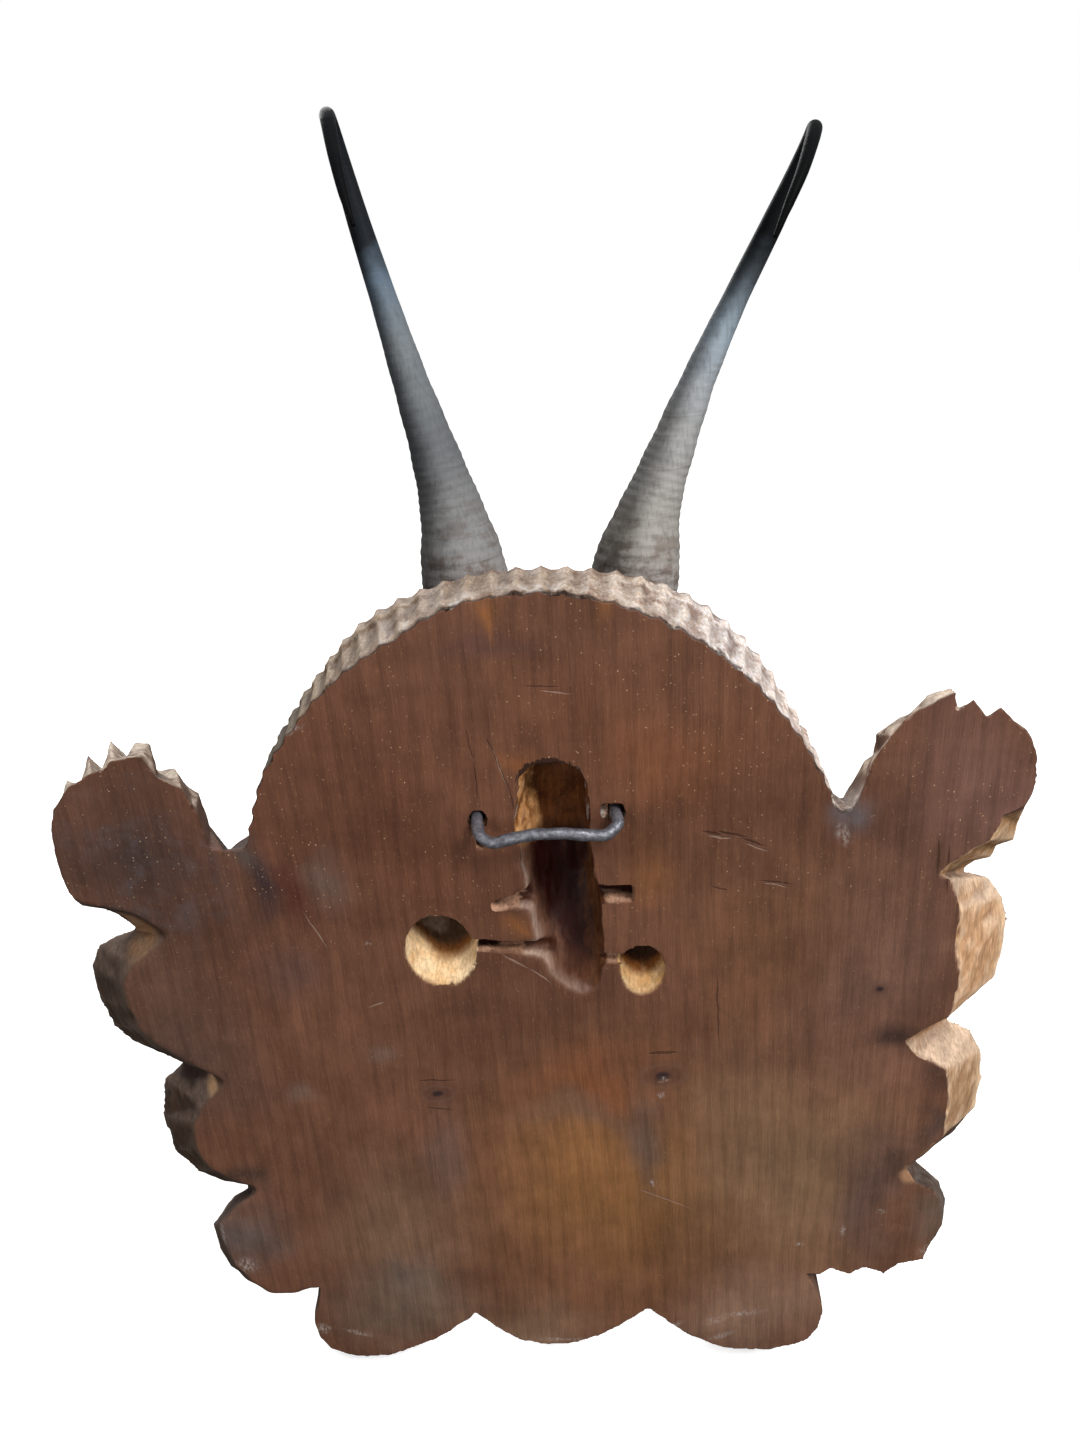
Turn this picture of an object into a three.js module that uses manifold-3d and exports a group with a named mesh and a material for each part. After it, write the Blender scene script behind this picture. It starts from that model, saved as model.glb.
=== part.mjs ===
// Chamois horn trophy: a carved wooden plaque with a skull cap and two horns on its front and a wire staple
// on its back. Millimetres, +Z up. The back face lies in the plane y = 0 and faces +Y, and the carved front
// faces -Y. The origin is on the back face, on the wood below the hanger pocket.
import * as THREE from 'three';
import { mergeVertices } from 'three/addons/utils/BufferGeometryUtils.js';
import Module from 'manifold-3d';

const wasm = await Module();
wasm.setup();

// Driving dimensions
const DOME_DEPTH = 28;
const WING_DEPTH = 24;
const LOBE_DEPTH = 26;
const FLUTE_COUNT = 36;
const FLUTE_DEPTH_FRONT = 1.5;
const FLUTE_DEPTH_BACK = 0.9;
const BOSS = { x: -1, z: 128, halfWidth: 47, halfHeight: 67, front: -40 };
const CONTACT_GAP = 0.4;
const WIRE_RADIUS = 2.1;
const STAPLE_HALF_SPAN = 24.6;
const STAPLE_STANDOFF = 10.5;
const STAPLE_CENTRE = { x: 0.3, z: 127.6 };
const STAPLE_LEG_DEPTH = 11;
const HORN_SIDES = 14;
const SKULL_LEAN = THREE.MathUtils.degToRad(-6);
const SKULL_PLACE = { x: -3, y: BOSS.front - CONTACT_GAP, z: 166 };
const SCREW = { headRadius: 4.6, headHeight: 2.8, shankRadius: 2, slotWidth: 1.1, slotDepth: 1.2 };

// Finishes
const wood = () => new THREE.MeshStandardMaterial({ color: 0x6d4630, roughness: 0.55, metalness: 0 });
const horn = () => new THREE.MeshStandardMaterial({ color: 0x4c4a47, roughness: 0.35, metalness: 0 });
const bone = () => new THREE.MeshStandardMaterial({ color: 0xcdbf9f, roughness: 0.7, metalness: 0 });
const iron = () => new THREE.MeshStandardMaterial({ color: 0x3b3f45, roughness: 0.6, metalness: 0.8 });

// A closed mesh as a solid for cutting and joining
function solid(geometry) {
  const bare = geometry.clone();
  for (const name of Object.keys(bare.attributes)) {
    if (name !== 'position') bare.deleteAttribute(name);
  }
  const merged = mergeVertices(bare, 1e-4);
  return new wasm.Manifold(new wasm.Mesh({
    numProp: 3,
    vertProperties: new Float32Array(merged.attributes.position.array),
    triVerts: new Uint32Array(merged.index.array),
  }));
}

function geometryOf(manifold) {
  const mesh = manifold.getMesh();
  const geometry = new THREE.BufferGeometry();
  geometry.setAttribute('position', new THREE.BufferAttribute(new Float32Array(mesh.vertProperties), 3));
  geometry.setIndex(new THREE.BufferAttribute(new Uint32Array(mesh.triVerts), 1));
  geometry.computeVertexNormals();
  return geometry;
}

// A solid skinned over rings of equal point count, with both end rings filled in
function skin(rings, capOf) {
  const count = rings[0].length;
  const points = rings.flat();
  const faces = [];
  for (let ring = 0; ring + 1 < rings.length; ring += 1) {
    for (let i = 0; i < count; i += 1) {
      const a = ring * count + i;
      const b = ring * count + (i + 1) % count;
      faces.push(a, b, a + count, b, b + count, a + count);
    }
  }
  const last = (rings.length - 1) * count;
  for (const [a, b, c] of capOf(rings[0])) faces.push(c, b, a);
  for (const [a, b, c] of capOf(rings[rings.length - 1])) faces.push(last + a, last + b, last + c);
  const geometry = new THREE.BufferGeometry().setFromPoints(points);
  geometry.setIndex(faces);
  const made = solid(geometry);
  return made.volume() > 0 ? made : solid(turnedInsideOut(geometry));
}

function turnedInsideOut(geometry) {
  const index = Array.from(geometry.index.array);
  for (let i = 0; i < index.length; i += 3) [index[i], index[i + 1]] = [index[i + 1], index[i]];
  const turned = geometry.clone();
  turned.setIndex(index);
  return turned;
}

// Both fillings keep the turning sense of the ring itself
function capInPlan(ring) {
  const plan = ring.map((p) => new THREE.Vector2(p.x, p.z));
  const faces = THREE.ShapeUtils.triangulateShape(plan, []);
  return THREE.ShapeUtils.area(plan) < 0 ? faces.map(([a, b, c]) => [c, b, a]) : faces;
}
const capAsFan = (ring) => ring.slice(2).map((_, i) => [0, i + 1, i + 2]);

// Plaque outline in plan as [x, z], in order round the edge from the left end of the dome, clockwise as seen
// from behind. Each stretch has its edge on the back face and its edge on the front, and ends where the next
// one starts.
const smooth = (points, steps) => new THREE.SplineCurve(points.map(([x, z]) => new THREE.Vector2(x, z)))
  .getSpacedPoints(steps);
const cornered = (points) => points.map(([x, z]) => new THREE.Vector2(x, z));

// Gouge flutes along an edge: three points a flute, a ridge and the two sides of a hollow
const FLUTE_POINTS = 3;
function fluted(edge, depth) {
  return edge.map((point, i) => {
    if (i % FLUTE_POINTS === 0 || i === edge.length - 1) return point;
    const along = edge[i + 1].clone().sub(edge[i - 1]).normalize();
    const inward = new THREE.Vector2(-along.y, along.x);
    return point.clone().addScaledVector(inward, depth);
  });
}

const domeSteps = FLUTE_COUNT * FLUTE_POINTS;
const DOME_BACK = [[111, 119], [105, 136], [98, 151], [84, 168], [70, 182], [50, 195], [27, 207],
  [0, 210.5], [-22, 207], [-45, 197], [-67, 181], [-84, 161], [-95, 143], [-103, 125]];
const DOME_FRONT = [[113, 113], [109.4, 131.5], [103.2, 147], [94.4, 159.8], [83, 174.2], [63, 194.6],
  [39, 205.8], [17, 210.6], [-4, 211], [-24.5, 208.8], [-42, 204], [-60, 193.8], [-76, 177.4],
  [-87.6, 159], [-97.2, 140.6], [-105, 120]];

const stretches = [
  // fluted dome
  { depth: DOME_DEPTH,
    back: fluted(smooth(DOME_BACK, domeSteps), FLUTE_DEPTH_BACK),
    front: fluted(smooth(DOME_FRONT, domeSteps), FLUTE_DEPTH_FRONT) },
  // right wing: scalloped inner side, three teeth, round outer side, stepped underside
  { depth: WING_DEPTH,
    back: cornered([[-103, 125], [-107, 126], [-109, 131], [-113, 145], [-115, 149], [-118, 154],
      [-122, 159], [-127, 163], [-132, 166], [-138, 169]]),
    front: cornered([[-105, 120], [-108.5, 117], [-112, 124], [-115, 131], [-119, 134.5], [-119.5, 143],
      [-127, 149], [-131, 151], [-136, 158], [-144, 160]]) },
  { depth: WING_DEPTH,
    back: cornered([[-138, 169], [-139, 162], [-144, 166], [-149, 159], [-153, 162], [-157, 158]]),
    front: cornered([[-144, 160], [-147, 151], [-152, 153], [-156, 146], [-161, 148], [-164, 144]]) },
  { depth: WING_DEPTH,
    back: smooth([[-157, 158], [-164, 152], [-167.8, 142], [-168, 132], [-165.5, 125]], 6),
    front: smooth([[-164, 144], [-172, 135], [-175, 125], [-176, 115], [-174, 105]], 6) },
  { depth: WING_DEPTH,
    back: cornered([[-165.5, 125], [-158, 121], [-155, 112], [-148, 108], [-142, 103], [-138, 98]]),
    front: cornered([[-174, 105], [-173, 97], [-167, 94.6], [-165.6, 90], [-160, 88.6], [-156.5, 83]]) },
  // right side lobes
  { depth: LOBE_DEPTH,
    back: cornered([[-138, 98], [-142, 96], [-147, 83], [-147, 65], [-149, 54], [-149, 42], [-147, 34],
      [-132, 23]]),
    front: cornered([[-156.5, 83], [-166, 79.5], [-173, 70], [-176, 60], [-175.5, 46], [-174, 33],
      [-167, 24], [-157, 11]]) },
  { depth: LOBE_DEPTH,
    back: cornered([[-132, 23], [-137, 16], [-149, 8], [-151, -7], [-151, -26], [-146, -32],
      [-138, -43]]),
    front: cornered([[-157, 11], [-167, 5], [-172.5, -5], [-174, -20], [-173, -36], [-166, -49],
      [-150, -67]]) },
  { depth: LOBE_DEPTH,
    back: cornered([[-138, -43], [-142, -52], [-150, -56], [-154, -65], [-155, -77], [-152, -84],
      [-149, -97], [-138, -100], [-133, -106], [-125, -101], [-118, -106], [-110, -102], [-105, -105.5],
      [-99, -105]]),
    front: cornered([[-150, -67], [-156, -73], [-162, -80], [-165, -90], [-165.4, -100], [-161.6, -108],
      [-155, -115], [-144, -114.4], [-138, -119.4], [-130, -115.4], [-122, -119.4], [-114, -115],
      [-108, -117.5], [-100, -110]]) },
  // three bottom lobes
  { depth: LOBE_DEPTH,
    back: smooth([[-99, -105], [-105.5, -120], [-108, -134], [-102, -148], [-91, -153], [-78, -155],
      [-63, -153], [-47, -143], [-30, -127]], 14),
    front: smooth([[-100, -110], [-105.5, -123], [-110, -138], [-106, -153], [-93, -161], [-78, -163],
      [-62, -160], [-46, -150], [-30, -134]], 14) },
  { depth: LOBE_DEPTH,
    back: smooth([[-30, -127], [-15, -140], [-3, -147], [11, -151], [24, -149], [36, -142],
      [48, -129]], 10),
    front: smooth([[-30, -134], [-16, -148], [-3, -156], [11, -160], [26, -157], [38, -149],
      [49, -136]], 10) },
  { depth: LOBE_DEPTH,
    back: smooth([[48, -129], [62, -142], [78, -152], [96, -158.5], [112, -157], [122, -148.5],
      [124, -135], [117, -111]], 14),
    front: smooth([[49, -136], [63, -150], [79, -161], [97, -168], [115, -166], [126, -155],
      [127.5, -138], [121, -118]], 14) },
  // left side lobes
  { depth: LOBE_DEPTH,
    back: cornered([[117, -111], [127, -116], [141, -116], [150, -107], [155, -97], [157, -84],
      [158, -72], [147, -59], [134, -50]]),
    front: cornered([[121, -118], [134, -136], [153, -145], [163, -138], [170, -129.5], [173.2, -117],
      [173.2, -101], [160, -83], [150, -77]]) },
  { depth: LOBE_DEPTH,
    back: cornered([[134, -50], [143, -46], [154, -39], [158, -27], [157, -13], [150, -3], [138, 10]]),
    front: cornered([[150, -77], [163, -73], [174, -67], [182, -54], [183.5, -33], [178.5, -12],
      [168, -3]]) },
  { depth: LOBE_DEPTH,
    back: cornered([[138, 10], [153, 20], [162, 28], [168, 36], [171, 48], [170, 59], [164, 69],
      [147, 82]]),
    front: cornered([[168, -3], [179, 4], [188, 10], [194, 18], [197, 32], [196.5, 50], [191, 60],
      [172, 69]]) },
  // left wing: underside, outer side, teeth, knobbly inner side
  { depth: WING_DEPTH,
    back: cornered([[147, 82], [156, 90], [168, 95], [177, 96], [181.5, 102], [182.5, 116],
      [181.5, 128]]),
    front: cornered([[172, 69], [177, 75], [184, 79], [192, 81.5], [195, 90], [195, 104], [191, 118]]) },
  { depth: WING_DEPTH,
    back: cornered([[181.5, 128], [178.5, 137], [173, 143], [169, 147], [164, 149], [161, 151],
      [156, 153], [152, 156], [146, 157], [141, 157], [137, 149], [129, 144]]),
    front: cornered([[191, 118], [189, 126], [184, 137], [179, 135], [173, 147], [168, 141], [163, 153],
      [158, 146], [154, 152.5], [148.5, 151.5], [148, 140], [141, 141]]) },
  { depth: WING_DEPTH,
    back: cornered([[129, 144], [127, 138], [126, 134], [124, 119], [119, 118], [111, 119]]),
    front: cornered([[141, 141], [138, 133], [134, 130], [133, 115], [127, 104], [113, 113]]) },
];

function ringOf(side, depthOf) {
  const ring = [];
  for (const stretch of stretches) {
    for (const point of stretch[side].slice(0, -1)) {
      ring.push(new THREE.Vector3(point.x, depthOf(stretch), point.y));
    }
  }
  return ring;
}

// Fan on the dome's front: the flutes run on as rays from the edge to the boss
const FAN = {
  bottom: -20, edge: -DOME_DEPTH + 0.2, crest: -35, ray: 2,
  edgeInset: 0.004, crestInset: 0.12, innerInset: 0.52,
};
const FAN_CENTRE = new THREE.Vector2(0, 110);
function fan() {
  const edge = stretches[0].front;
  const at = (inset, height) => edge.map((point, i) => {
    const p = point.clone().lerp(FAN_CENTRE, inset);
    const hollow = i % FLUTE_POINTS === 0 ? 0 : FAN.ray;
    return new THREE.Vector3(p.x, height(hollow), p.y);
  });
  const top = [at(FAN.edgeInset, () => FAN.edge), at(FAN.crestInset, (hollow) => FAN.crest + hollow),
    at(FAN.innerInset, () => FAN.crest + FAN.ray)];
  const bottom = [at(FAN.innerInset, () => FAN.bottom), at(FAN.edgeInset, () => FAN.bottom)];
  const loops = edge.map((_, i) => [...top, ...bottom].map((row) => row[i]));
  return skin(loops, capAsFan);
}

// A carved leaf lobe: a long mound with a sunk midrib, lying on the front from its root to its tip
const LEAF_ROWS = 6;
const LEAF_COLUMNS = 6;
const LEAF_BOTTOM = -18;
const LEAF_ENDS = { width: 0.12, start: 0.04, span: 0.94, skew: 1.15 };
const LEAF_SWELL = { start: 0.12, span: 0.78 };
const MIDRIB = { depth: 0.45, sharpness: 14 };
function leaf({ root, tip, halfWidth, rise, base }) {
  const start = new THREE.Vector2(...root);
  const end = new THREE.Vector2(...tip);
  const across = end.clone().sub(start).normalize().rotateAround(new THREE.Vector2(), Math.PI / 2);
  const rings = [];
  for (let row = 0; row <= LEAF_ROWS; row += 1) {
    const s = row / LEAF_ROWS;
    const bulge = Math.sin(Math.PI * Math.pow(LEAF_ENDS.start + LEAF_ENDS.span * s, LEAF_ENDS.skew));
    const width = halfWidth * (LEAF_ENDS.width + (1 - LEAF_ENDS.width) * bulge);
    const swell = Math.sin(Math.PI * (LEAF_SWELL.start + LEAF_SWELL.span * s));
    const centre = start.clone().lerp(end, s);
    const ring = [];
    for (let column = 0; column <= LEAF_COLUMNS; column += 1) {
      const t = -1 + 2 * column / LEAF_COLUMNS;
      const p = centre.clone().addScaledVector(across, t * width);
      const arch = Math.sqrt(Math.max(0, 1 - t * t)) - MIDRIB.depth * Math.exp(-t * t * MIDRIB.sharpness);
      ring.push(new THREE.Vector3(p.x, -base - rise * swell * arch, p.y));
    }
    for (const t of [1, -1]) {
      const p = centre.clone().addScaledVector(across, t * width);
      ring.push(new THREE.Vector3(p.x, LEAF_BOTTOM, p.y));
    }
    rings.push(ring);
  }
  return skin(rings, capAsFan);
}

const LEAVES = [
  { root: [122, 84], tip: [172, 128], halfWidth: 16, rise: 9, base: WING_DEPTH },
  { root: [-104, 92], tip: [-152, 136], halfWidth: 18, rise: 9, base: WING_DEPTH },
  { root: [92, 52], tip: [188, 38], halfWidth: 24, rise: 10, base: LOBE_DEPTH },
  { root: [-80, 60], tip: [-168, 52], halfWidth: 23, rise: 10, base: LOBE_DEPTH },
  { root: [86, -12], tip: [174, -42], halfWidth: 23, rise: 10, base: LOBE_DEPTH },
  { root: [-78, -4], tip: [-166, -24], halfWidth: 23, rise: 10, base: LOBE_DEPTH },
  { root: [80, -62], tip: [156, -112], halfWidth: 20, rise: 9, base: LOBE_DEPTH },
  { root: [-76, -56], tip: [-150, -96], halfWidth: 20, rise: 9, base: LOBE_DEPTH },
  { root: [52, -84], tip: [102, -160], halfWidth: 22, rise: 10, base: LOBE_DEPTH },
  { root: [-38, -80], tip: [-84, -155], halfWidth: 22, rise: 10, base: LOBE_DEPTH },
  { root: [7, -66], tip: [10, -152], halfWidth: 24, rise: 12, base: LOBE_DEPTH },
];

// A raised body under the leaves' roots, and the moulded boss that carries the skull cap
const ROUND_STEPS = 32;
function mound(profile, { x, z, halfWidth, halfHeight }) {
  const geometry = new THREE.LatheGeometry(profile.map(([r, y]) => new THREE.Vector2(r, y)), ROUND_STEPS);
  geometry.scale(halfWidth, 1, halfHeight);
  geometry.translate(x, 0, z);
  const made = solid(geometry);
  return made.volume() > 0 ? made : solid(turnedInsideOut(geometry));
}
const BOSS_PROFILE = [[0, -18], [1, -18], [1, -33], [0.97, -36.5], [0.92, -38], [0.88, -37],
  [0.84, -37.4], [0.8, BOSS.front], [0, BOSS.front]];
const BODY = { x: 2, z: 20, halfWidth: 104, halfHeight: 118 };
const BODY_PROFILE = [[0, -18], [1, -18], [1, -25], [0.86, -30], [0.6, -33], [0.3, -34], [0, -34]];

// A straight-sided cutter between two depths, from an outline in plan
function prism(outline, near, far) {
  const rings = [near, far].map((y) => outline.map(([x, z]) => new THREE.Vector3(x, y, z)));
  return skin(rings, capInPlan);
}

// A round cutter or peg from a point, along a direction
function rod(from, direction, length, radius, endRadius = radius, sides = 18) {
  const geometry = new THREE.CylinderGeometry(endRadius, radius, length, sides);
  geometry.translate(0, length / 2, 0);
  const turn = new THREE.Quaternion().setFromUnitVectors(new THREE.Vector3(0, 1, 0),
    new THREE.Vector3(...direction).normalize());
  geometry.applyQuaternion(turn);
  geometry.translate(...from);
  return solid(geometry);
}

// Hanger pocket: a long slanted hollow, deep at the top, that runs out in a ramp at its lower end
const POCKET_MOUTH = [[8, 144], [3, 148.5], [-5, 149], [-12, 146.5], [-15, 140], [-15, 125], [-15, 112],
  [-17, 96], [-18, 78], [-18, 63], [-15.5, 51], [-9, 45.5], [-2, 50], [3, 58], [6.5, 71], [8.5, 88],
  [10, 105], [12, 124]];
const POCKET_LEVELS = [
  { y: 0.6, narrow: 1, lowEnd: 45 },
  { y: -6, narrow: 0.93, lowEnd: 62 },
  { y: -13, narrow: 0.84, lowEnd: 78 },
  { y: -19, narrow: 0.66, lowEnd: 92 },
];
const POCKET = { low: 45, high: 149, topInside: 147, topSlope: 0.15, middleLow: -8, middleHigh: -2.5 };
function pocket() {
  const { low, high } = POCKET;
  const rings = POCKET_LEVELS.map(({ y, narrow, lowEnd }) => POCKET_MOUTH.map(([x, z]) => {
    const s = (z - low) / (high - low);
    const middle = POCKET.middleLow + (POCKET.middleHigh - POCKET.middleLow) * s;
    const top = y > 0 ? high : POCKET.topInside + y * POCKET.topSlope;
    return new THREE.Vector3(middle + (x - middle) * narrow, y, lowEnd + (top - lowEnd) * s);
  }));
  return skin(rings, capInPlan);
}

const KERFS = [
  { outline: [[22.5, 92], [22, 88.5], [-2, 91], [-2, 97.5], [7, 97]], depth: 7 },
  { outline: [[-10, 98], [-30, 97.5], [-30, 90.5], [-10, 90]], depth: 8 },
  { outline: [[34, 76.5], [34, 71.5], [0, 67], [0, 72]], depth: 6 },
  { outline: [[-12, 69], [-27, 66.5], [-27, 62.5], [-12, 65]], depth: 5 },
];
const BORES = [
  { from: [43.5, 7, 65.5], direction: [0.04, -1, 0.68], length: 30, radius: 13.6 },
  { from: [-31.8, 7, 53], direction: [-0.04, -1, 0.9], length: 28, radius: 8.6 },
];
const STAPLE_HOLE_RADIUS = 3.2;
const HOLE_END_PLAY = 3;
const HOLE_SIDES = 10;
const FACE_OVERRUN = 0.6;

function plaque() {
  const back = ringOf('back', () => 0);
  const front = ringOf('front', (stretch) => -stretch.depth);
  let made = skin([back, front], capInPlan);
  const raised = [fan(), mound(BODY_PROFILE, BODY), mound(BOSS_PROFILE, BOSS), ...LEAVES.map(leaf)];
  for (const piece of raised) made = made.add(piece);
  const cuts = [pocket()];
  for (const { outline, depth } of KERFS) cuts.push(prism(outline, FACE_OVERRUN, -depth));
  for (const bore of BORES) cuts.push(rod(bore.from, bore.direction, bore.length, bore.radius));
  for (const side of [-1, 1]) {
    cuts.push(rod([STAPLE_CENTRE.x + side * STAPLE_HALF_SPAN, 1, STAPLE_CENTRE.z], [0, -1, 0],
      STAPLE_LEG_DEPTH + HOLE_END_PLAY, STAPLE_HOLE_RADIUS, STAPLE_HOLE_RADIUS, HOLE_SIDES));
  }
  for (const place of SCREW_PLACES) {
    const at = skullPoint(place.x, 0, place.z);
    cuts.push(rod([at.x, BOSS.front - 1, at.z], [0, 1, 0], place.reach + HOLE_END_PLAY,
      SCREW.shankRadius + CONTACT_GAP, SCREW.shankRadius + CONTACT_GAP, HOLE_SIDES));
  }
  for (const cut of cuts) made = made.subtract(cut);
  return made;
}

// Horn centre lines, from the rim up over the hook to the tip, with the width of the sheath at each point.
// The hooks come back over towards the wall.
const HORNS = {
  horn_left: {
    line: [[28.2, -59.5, 189], [29.2, -61, 201], [30.4, -62.8, 212.6], [32.8, -65.2, 227],
      [37.2, -68.2, 246], [43.6, -72, 270], [50.6, -76.4, 297.7], [57.2, -80.4, 324], [61.4, -83.2, 343],
      [63, -82, 353], [62.6, -76.5, 356], [60.8, -68, 353.5], [58, -58, 342.5], [55.2, -51.5, 330.5],
      [52.6, -48, 321.5]],
    width: [33.5, 33, 28.7, 22.5, 17.3, 13, 9.7, 8, 6.6, 5.8, 5.4, 5.1, 4.3, 3.2, 1.4],
  },
  horn_right: {
    line: [[-33.6, -59.5, 188], [-36.2, -60.7, 200], [-38.8, -62.4, 210.5], [-43.4, -64.8, 224.5],
      [-50.2, -67.4, 241], [-60.4, -71.1, 264.3], [-73.5, -75.2, 290], [-87.2, -79, 314.7],
      [-96, -81.6, 331.5], [-99.2, -81, 339], [-99.2, -75.5, 341.4], [-97.2, -67.5, 338],
      [-92.4, -57.5, 328], [-87.4, -52, 318.5], [-82.8, -48.5, 309.5]],
    width: [33.5, 33, 28, 20.9, 16.6, 12.1, 8.9, 7.8, 6.4, 5.6, 5.2, 4.9, 4.1, 3.1, 1.3],
  },
};
const HORN_STEPS = 32;

function hornPath(line) {
  const points = line.map((p) => new THREE.Vector3(...p));
  return new THREE.CatmullRomCurve3(points, false, 'centripetal');
}

function hornSheath({ line, width }) {
  const path = hornPath(line);
  const thickness = new THREE.SplineCurve(width.map((w, i) => new THREE.Vector2(w, i)));
  const rings = [];
  for (let step = 0; step <= HORN_STEPS; step += 1) {
    const t = step / HORN_STEPS;
    const place = path.getPoint(t);
    const along = path.getTangent(t);
    const sideways = new THREE.Vector3(1, 0, 0).addScaledVector(along, -along.x).normalize();
    const forward = new THREE.Vector3().crossVectors(along, sideways);
    const radius = thickness.getPoint(t).x / 2;
    const ring = [];
    for (let i = 0; i < HORN_SIDES; i += 1) {
      const angle = 2 * Math.PI * i / HORN_SIDES;
      ring.push(place.clone().addScaledVector(sideways, radius * Math.cos(angle))
        .addScaledVector(forward, radius * Math.sin(angle)));
    }
    rings.push(ring);
  }
  return skin(rings, capAsFan);
}

// Skull cap, in its own frame: x across, z up along the brow, y = 0 on its sawn flat back, front towards -y
const SKULL_SECTIONS = [
  { z: -98, half: 7, deep: 7 },
  { z: -92, half: 9.5, deep: 10 },
  { z: -76, half: 12, deep: 14 },
  { z: -58, half: 15.5, deep: 17 },
  { z: -44, half: 21, deep: 20 },
  { z: -32, half: 30, deep: 22.5 },
  { z: -20, half: 40, deep: 24 },
  { z: -8, half: 44, deep: 25.5 },
  { z: 2, half: 41, deep: 27 },
  { z: 10, half: 35, deep: 26 },
  { z: 16, half: 29, deep: 21 },
  { z: 19, half: 24, deep: 13 },
];
const SKULL_SIDE_STEPS = 10;
const EYE_SOCKETS = { x: 43, y: -10, z: -21, size: [15, 12, 15] };
const PEDICLE_RADIUS = 10.5;
const PEDICLE_NECK = 6;
const PEDICLE_OVERLAP = 2;
const PEDICLE_SIDES = 12;
const RIM_CLEARING = 20;
const PEDICLE_FOOT = { x: 19, y: -14, z: 4, radius: 12.5 };
const SKULL_FRONT = 40;
const HEAD_ROOM = 1.4;
const SCREW_SIDES = 14;
const SCREW_PLACES = [{ x: 0, z: -4, skin: 22.5, reach: 11 }, { x: 0, z: -52, skin: 17.2, reach: 11 }];

function skullPoint(x, y, z) {
  return new THREE.Vector3(x, y, z).applyAxisAngle(new THREE.Vector3(0, 1, 0), SKULL_LEAN)
    .add(new THREE.Vector3(SKULL_PLACE.x, SKULL_PLACE.y, SKULL_PLACE.z));
}

function skullCap() {
  const rings = SKULL_SECTIONS.map(({ z, half, deep }) => {
    const ring = [];
    for (let i = 0; i <= SKULL_SIDE_STEPS; i += 1) {
      const angle = Math.PI * i / SKULL_SIDE_STEPS;
      const lift = Math.pow(Math.sin(angle), 0.75);
      ring.push(skullPoint(half * Math.cos(angle), -deep * lift, z));
    }
    return ring;
  });
  let made = skin(rings, capAsFan);
  for (const side of [-1, 1]) {
    const socket = new THREE.SphereGeometry(1, 12, 8);
    socket.scale(...EYE_SOCKETS.size);
    const at = skullPoint(side * EYE_SOCKETS.x, EYE_SOCKETS.y, EYE_SOCKETS.z);
    socket.translate(at.x, at.y, at.z);
    made = made.subtract(solid(socket));
  }
  // pedicles, cut square where the horns sit on them
  for (const { line } of Object.values(HORNS)) {
    const up = hornPath(line).getTangent(0);
    const end = new THREE.Vector3(...line[0]).addScaledVector(up, -CONTACT_GAP);
    const neck = end.clone().addScaledVector(up, -PEDICLE_NECK);
    const side = Math.sign(line[0][0]);
    const down = skullPoint(side * PEDICLE_FOOT.x, PEDICLE_FOOT.y, PEDICLE_FOOT.z).sub(neck);
    made = made.add(rod(end.toArray(), up.clone().negate().toArray(), PEDICLE_NECK + PEDICLE_OVERLAP,
      PEDICLE_RADIUS, PEDICLE_RADIUS, PEDICLE_SIDES));
    made = made.add(rod(neck.toArray(), down.toArray(), down.length(), PEDICLE_RADIUS, PEDICLE_FOOT.radius,
      PEDICLE_SIDES));
    made = made.subtract(rod(end.toArray(), up.toArray(), RIM_CLEARING, RIM_CLEARING));
  }
  // the sawn flat back
  const behind = new THREE.BoxGeometry(200, 60, 300);
  behind.translate(0, SKULL_PLACE.y + 30, SKULL_PLACE.z);
  made = made.subtract(solid(behind));
  for (const place of SCREW_PLACES) {
    const at = skullPoint(place.x, -SKULL_FRONT, place.z);
    const hole = SCREW.shankRadius + CONTACT_GAP;
    const recess = SCREW.headRadius + HEAD_ROOM;
    made = made.subtract(rod(at.toArray(), [0, 1, 0], SKULL_FRONT * 1.5, hole, hole, HOLE_SIDES));
    made = made.subtract(rod(at.toArray(), [0, 1, 0], SKULL_FRONT - place.skin, recess, recess,
      SCREW_SIDES));
  }
  return made;
}

// Round-head slotted screw, pointing into the boss: the head's curve as shares of its radius and height
const HEAD_CURVE = [[0, 1], [0.45, 0.93], [0.8, 0.65], [1, 0.2], [1, 0]];
const POINT_LENGTH = 4;
const SLOT_TURN = 0.6;
function screw(place) {
  const { headRadius, headHeight, shankRadius } = SCREW;
  const seat = -place.skin - CONTACT_GAP;
  const tip = CONTACT_GAP + place.reach;
  const head = HEAD_CURVE.map(([r, h]) => [headRadius * r, -headHeight * h]);
  const shank = [[shankRadius, 0.02], [shankRadius, tip - seat - POINT_LENGTH], [0, tip - seat]];
  const profile = [...head, ...shank];
  const geometry = new THREE.LatheGeometry(profile.map(([r, y]) => new THREE.Vector2(r, y)), SCREW_SIDES);
  let made = solid(geometry);
  if (made.volume() < 0) made = solid(turnedInsideOut(geometry));
  const slot = new THREE.BoxGeometry(headRadius * 3, SCREW.slotDepth * 2, SCREW.slotWidth);
  slot.rotateY(SLOT_TURN);
  slot.translate(0, -headHeight, 0);
  made = made.subtract(solid(slot));
  const at = skullPoint(place.x, seat, place.z);
  return made.translate([at.x, at.y, at.z]);
}

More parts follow.
